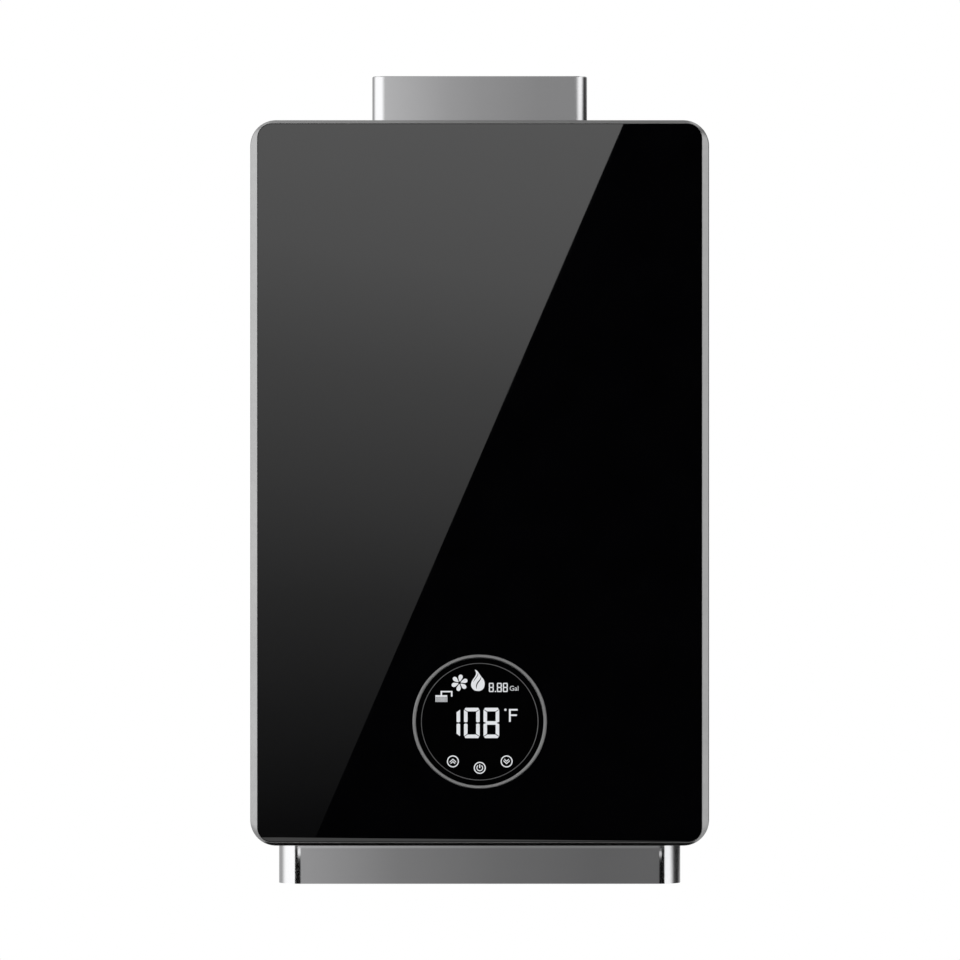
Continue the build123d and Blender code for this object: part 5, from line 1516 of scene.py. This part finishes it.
@dataclass
class Studio:
    """Camera, light and background of a plain product photograph.

    Attributes:
        distance: From the camera to the glass, in metres.
        width: Width of the view at the glass, in metres.
        aim: Point on the glass in the middle of the view, as x and z.
        sensor: Width of the camera's sensor in millimetres.
        lamp_aim: Point that the lamps face.
        card_y: Plane of the reflected card behind the camera.
        foot_y: Plane of the cards in front of the cover's foot.
        inner_y: Plane of the cards close in front of the collar and the skirt.
        ambient: Brightness of the surroundings as light.
        reach: Radius of the curved side cards.
        bend: Where they curve round, from the middle plane and from the wall.
        side_heights: Lower and upper edge of the side cards.
        right_cuts: Heights at which the right side cards change.
        bevel_tilt: How far the frame's lower bevel leans down, in degrees.
        bevel_x: Left and right end of the light on that bevel.
        bevel_top: Upper edge of that light at both ends.
        bevel_foot: Its lower edge.
        bevel_levels: Its brightness at both ends.
        skirt_x: Left and right end of the cards in front of the skirt.
        skirt_z: Their lower and upper edge.
        skirt_rim: Lower edge of the brighter strip along their top.
        floor_z: Height of the floor.
        floor_half: Half of the floor's width.
        edge_top: Upper end of the edge of the sheen on the glass, as x and z.
        edge_run: How far that edge runs to the left and down.
        sheen_left: Left end of the sheen.
        sheen_pivot: Place across the glass where the sheen's levels are given.
        sheen_slope: How far the levels climb to the right of it.
    """

    distance: float = 4.65
    width: float = 0.6917
    aim: Point2 = (0.00022, -0.2704)
    sensor: float = 36.0
    lamp_aim: Point3 = (0.0, -0.07, -0.27)
    card_y: float = -5.0
    foot_y: float = -0.17
    inner_y: float = -0.135
    ambient: float = 0.45
    reach: float = 4.0
    bend: Point2 = (0.11, 0.11)
    side_heights: Point2 = (-1.09, 3.5)
    right_cuts: Point2 = (-0.757, 0.21)
    bevel_tilt: float = 13.24
    bevel_x: Point2 = (-0.157, 0.157)
    bevel_top: Point2 = (-0.5278, -0.5312)
    bevel_foot: float = -0.5345
    bevel_levels: Point2 = (1.32, 1.12)
    skirt_x: Point2 = (-0.1337, 0.1346)
    skirt_z: Point2 = (-0.58, -0.5362)
    skirt_rim: float = -0.5379
    floor_z: float = -1.1
    floor_half: float = 6.0
    edge_top: Point2 = (0.1041, -0.0125)
    edge_run: Point2 = (0.2226, 0.516)
    sheen_left: float = -0.18
    sheen_pivot: float = -0.1297
    sheen_slope: float = 0.3

    def build(self) -> None:
        """Set up everything."""
        self.camera()
        self.world()
        self.floor()
        self.lamps()
        self.cards()
        bpy.context.scene.view_settings.view_transform = "Standard"

    def glass_y(self) -> float:
        """Front plane of the glass."""
        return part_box("glass_panel")[0].y

    def camera(self) -> None:
        """Long lens, level with the middle of the heater."""
        data = bpy.data.cameras.new("camera")
        data.sensor_width = self.sensor
        data.lens = self.sensor * self.distance / self.width
        data.clip_end = 50.0
        camera = bpy.data.objects.new("camera", data)
        camera.location = (self.aim[0], self.glass_y() - self.distance, self.aim[1])
        camera.rotation_euler = (math.pi / 2, 0.0, 0.0)
        bpy.context.scene.collection.objects.link(camera)
        bpy.context.scene.camera = camera

    def world(self) -> None:
        """White surroundings wherever they are seen, softer ones for light."""
        world = bpy.data.worlds.new("studio")
        world.use_nodes = True
        bpy.context.scene.world = world
        back = world.node_tree.nodes["Background"]
        level = world.node_tree.nodes.new("ShaderNodeMapRange")
        level.inputs["To Min"].default_value = self.ambient
        level.inputs["To Max"].default_value = 1.0
        world.node_tree.links.new(self.seen(world.node_tree), level.inputs["Value"])
        world.node_tree.links.new(level.outputs["Result"], back.inputs["Strength"])
        back.inputs["Color"].default_value = (1.0, 1.0, 1.0, 1.0)

    def seen(self, tree: bpy.types.NodeTree) -> Socket:
        """Find the rays that show the background.

        Args:
            tree: Node tree that asks.

        Returns:
            An output that is 1 for the camera, in reflections and through clear pieces, else 0.
        """
        rays = tree.nodes.new("ShaderNodeLightPath")
        value = rays.outputs["Is Camera Ray"]
        for name in ("Is Glossy Ray", "Is Transmission Ray"):
            most = tree.nodes.new("ShaderNodeMath")
            most.operation = "MAXIMUM"
            tree.links.new(value, most.inputs[0])
            tree.links.new(rays.outputs[name], most.inputs[1])
            value = most.outputs[0]
        return value

    def floor(self) -> None:
        """Pale floor well below the hanging heater, which fades into the white surroundings."""
        sheet = NodeSheet("floor")
        sheet.feed(sheet.mix(sheet.noise(3.0), (0.84, 0.84, 0.84), (0.87, 0.87, 0.87)), "Base Color")
        sheet.put(Roughness=0.9, Specular_IOR_Level=0.1)
        far = sheet.nodes.new("ShaderNodeVectorMath")
        far.operation = "LENGTH"
        sheet.links.new(sheet.place((1.0, 1.0, 0.0)), far.inputs[0])
        fade = sheet.span(far.outputs["Value"], 0.0, 1.0, 0.9, 3.6)
        white = sheet.nodes.new("ShaderNodeEmission")
        blend = sheet.nodes.new("ShaderNodeMixShader")
        shown = sheet.combine("MULTIPLY", fade, self.seen(sheet.material.node_tree))
        sheet.links.new(shown, blend.inputs[0])
        sheet.links.new(sheet.shader.outputs[0], blend.inputs[1])
        sheet.links.new(white.outputs[0], blend.inputs[2])
        sheet.links.new(blend.outputs[0], sheet.nodes["Material Output"].inputs["Surface"])
        half = self.floor_half
        rows = [((-half, y, self.floor_z), (half, y, self.floor_z), 0.0) for y in (-half, half)]
        self.card("floor", rows, sheet.material)

    def lamps(self) -> None:
        """Large soft lamps from above left, from the right and from behind."""
        for name, at, size, watts in (
            ("key", (-1.8, -2.6, 1.6), 1.8, 42.0),
            ("fill", (2.2, -2.2, 0.4), 1.8, 24.0),
            ("back", (0.6, 2.6, 1.0), 2.0, 34.0),
        ):
            data = bpy.data.lights.new(name, "AREA")
            data.size = size
            data.energy = watts
            lamp = bpy.data.objects.new(name, data)
            lamp.location = at
            aim = Vector(self.lamp_aim) - lamp.location
            lamp.rotation_euler = aim.to_track_quat("-Z", "Y").to_euler()
            lamp.visible_glossy = False
            bpy.context.scene.collection.objects.link(lamp)

    def card(self, name: str, rows: list[Row], material: bpy.types.Material) -> bpy.types.Object:
        """Add one stage sheet as a strip of flat pieces.

        Args:
            name: Name of the sheet.
            rows: Both ends of each cross line of the strip, with the brightness there.
            material: Its material.

        Returns:
            The sheet.
        """
        mesh = bmesh.new()
        level = mesh.verts.layers.float.new("level")
        lines = []
        for first, second, value in rows:
            lines.append([mesh.verts.new(first), mesh.verts.new(second)])
            for corner in lines[-1]:
                corner[level] = value
        for line, following in zip(lines, lines[1:]):
            mesh.faces.new([*line, *reversed(following)])
        data = bpy.data.meshes.new(name)
        mesh.to_mesh(data)
        mesh.free()
        data.materials.append(material)
        sheet = bpy.data.objects.new(name, data)
        bpy.context.scene.collection.objects.link(sheet)
        return sheet

    def reflector(self, name: str, rows: list[Row]) -> None:
        """Add a card that shows only in reflections.

        Args:
            name: Name of the card.
            rows: Its cross lines, with the brightness of each.
        """
        sheet = self.card(name, rows, self.glow())
        sheet.visible_camera = False
        sheet.visible_diffuse = False
        sheet.visible_transmission = False
        sheet.visible_volume_scatter = False
        sheet.visible_shadow = False

    def glow(self) -> bpy.types.Material:
        """Plain light, as bright as the card says at each of its corners.

        Returns:
            The material, made once for all cards.
        """
        material = bpy.data.materials.get("card_light")
        if material:
            return material
        material = bpy.data.materials.new("card_light")
        material.use_nodes = True
        nodes = material.node_tree.nodes
        nodes.clear()
        level = nodes.new("ShaderNodeAttribute")
        level.attribute_name = "level"
        light = nodes.new("ShaderNodeEmission")
        out = nodes.new("ShaderNodeOutputMaterial")
        material.node_tree.links.new(level.outputs["Fac"], light.inputs["Strength"])
        material.node_tree.links.new(light.outputs["Emission"], out.inputs["Surface"])
        return material

    def curved(self, name: str, side: int, heights: Point2, stops: list[Point2]) -> None:
        """Add a tall card that curves round one side of the heater.

        Args:
            name: Name of the card.
            side: 1 for the right, -1 for the left.
            heights: Its lower and upper edge.
            stops: Angles in degrees from straight ahead, each with its brightness.
        """
        rows = []
        for angle, level in stops:
            turn = math.radians(angle)
            x = side * (self.bend[0] + self.reach * math.sin(turn))
            y = -self.bend[1] - self.reach * math.cos(turn)
            rows.append(((x, y, heights[0]), (x, y, heights[1]), level))
        self.reflector(name, rows)

    def upright(self, name: str, y: float, heights: Point2, stops: list[Point2]) -> None:
        """Add an upright card in a plane y, with its brightness at places across it."""
        self.reflector(name, [((x, y, heights[0]), (x, y, heights[1]), level) for x, level in stops])

    def level(self, name: str, z: float, depth: Point2, stops: list[Point2]) -> None:
        """Add a level card at a height z, with its brightness at places across it."""
        self.reflector(name, [((x, depth[0], z), (x, depth[1], z), level) for x, level in stops])

    def mirrored(self, x: float, z: float, tilt: float = 0.0, plane: float | None = None) -> Point3:
        """Point of a card that the glass shows at a given place.

        Args:
            x: Place across the glass.
            z: Height on the glass.
            tilt: How far the glass leans down there, in degrees.
            plane: Y of the card, or None for the far card.

        Returns:
            The point of the card.
        """
        spot = Vector((x, self.glass_y(), z))
        lens = Vector((self.aim[0], self.glass_y() - self.distance, self.aim[1]))
        out = Vector((0.0, -math.cos(math.radians(tilt)), -math.sin(math.radians(tilt))))
        ray = (spot - lens).reflect(out)
        return tuple(spot + ray * ((self.card_y if plane is None else plane) - spot.y) / ray.y)

    def sheen(self) -> None:
        """Soft light behind the camera whose slanted edge crosses the glass."""
        self.upright("dark_flag", self.card_y - 0.02, (-1.9, 1.4), [(-1.6, 0.0), (1.6, 0.0)])
        edge_x, edge_z = self.edge_top
        run_x, run_z = self.edge_run
        slope = self.sheen_slope
        rows = []
        for drop, level in ((-0.145, 2.5), (-0.05, 2.2), (-0.0013, 2.05), (0.0636, 1.81),
                            (0.15, 1.236), (0.2365, 0.853), (0.323, 0.46), (0.4094, 0.226),
                            (0.496, 0.075), (0.56, 0.03)):
            share = (drop + slope * (edge_x - self.sheen_pivot)) / (run_z + slope * run_x)
            left_z = edge_z - drop + slope * (self.sheen_left - self.sheen_pivot)
            rows.append((self.mirrored(self.sheen_left, left_z),
                         self.mirrored(edge_x - run_x * share, edge_z - run_z * share), level))
        self.reflector("sheen", rows)

    def cards(self) -> None:
        """Dark and bright cards that the glass and the bright metal reflect."""
        self.sheen()
        self.foot_cards()
        self.side_cards()
        self.upright("collar_light", self.inner_y, (-0.0105, 0.05), [
            (-0.0717, 0.67), (-0.0657, 0.64), (-0.0219, 0.46), (0.0, 0.40), (0.0438, 0.334),
            (0.0707, 0.33), (0.0733, 0.39)])
        self.level("top_light", 0.6, (-0.3, 0.6), [(-0.3, 0.68), (-0.16, 0.68), (0.16, 0.3), (0.3, 0.3)])

    def foot_cards(self) -> None:
        """Cards for the frame's lower bevel, the gap under it and the skirt."""
        bevel = [(self.mirrored(x, top, self.bevel_tilt, self.foot_y),
                  self.mirrored(x, self.bevel_foot, self.bevel_tilt, self.foot_y), level)
                 for x, top, level in zip(self.bevel_x, self.bevel_top, self.bevel_levels)]
        self.reflector("bevel_light", bevel)
        self.upright("bevel_flag", self.foot_y - 0.002, (-0.6, -0.5375), [(-0.18, 0.0), (0.18, 0.0)])
        left, right = self.skirt_x
        self.upright("skirt_light", self.inner_y, self.skirt_z, [
            (left, 0.42), (-0.1237, 0.405), (-0.0582, 0.262), (0.0145, 0.194), (0.0874, 0.156),
            (right, 0.165)])
        self.upright("skirt_back", self.inner_y - 0.0005, self.skirt_z, [(left, 0.0), (right, 0.0)])
        self.upright("skirt_edge", self.inner_y + 0.003, (self.skirt_rim, self.skirt_z[1]), [
            (left, 0.6), (-0.1237, 0.58), (0.0145, 0.3), (right, 0.26)])
        self.level("foot_flag", -0.62, (-0.24, 0.0), [(-0.2, 0.0), (0.2, 0.0)])

    def side_cards(self) -> None:
        """Tall cards that curve round both sides, one on the left and three on the right."""
        foot, top = self.side_heights
        low_cut, high_cut = self.right_cuts
        self.curved("left_light", -1, (foot, top), [
            (7.0, 0.62), (11.0, 0.82), (17.0, 1.1), (22.0, 1.26), (29.0, 1.44), (37.0, 1.52),
            (60.0, 1.52), (87.0, 1.5), (96.0, 1.38), (103.0, 1.16), (111.0, 0.84), (119.0, 0.58),
            (129.0, 0.47), (155.0, 0.5), (180.0, 0.6)])
        self.curved("right_top", 1, (high_cut, top), [
            (9.0, 0.38), (12.0, 0.45), (20.0, 0.70), (29.0, 0.98), (38.0, 1.28), (48.0, 1.5),
            (57.0, 1.5), (67.0, 1.44), (78.0, 1.05), (88.0, 0.4), (99.0, 0.1), (114.0, 0.08),
            (128.0, 0.2), (145.0, 0.5), (180.0, 0.6)])
        self.curved("right_mid", 1, (low_cut, high_cut), [
            (9.0, 0.11), (24.0, 0.26), (34.0, 0.7), (43.0, 1.05), (62.0, 1.1), (70.0, 0.8),
            (80.0, 0.2), (90.0, 0.02), (155.0, 0.02), (168.0, 0.4), (180.0, 0.6)])
        self.curved("right_low", 1, (foot, low_cut), [
            (9.0, 0.17), (17.0, 0.27), (23.0, 0.45), (28.0, 0.76), (33.0, 1.1), (38.0, 1.4),
            (47.0, 1.6), (67.0, 1.6), (74.0, 1.45), (80.0, 1.15), (87.0, 0.62), (93.0, 0.25),
            (100.0, 0.08), (117.0, 0.03), (128.0, 0.1), (138.0, 0.32), (150.0, 0.5), (180.0, 0.6)])


def main() -> None:
    """Build the looks in order."""
    logging.basicConfig(level=logging.INFO, format="%(message)s")
    rack = FinishRack()
    CadDressing(rack).dress()
    DisplayFace(rack).build()
    ChassisScrews(rack).build()
    CoverScrewRecessShade(rack).build()
    PipeThreads(rack).build()
    SpotWelds(rack).build()
    LeadFittings(rack).build()
    Studio().build()


if __name__ == "__main__":
    main()
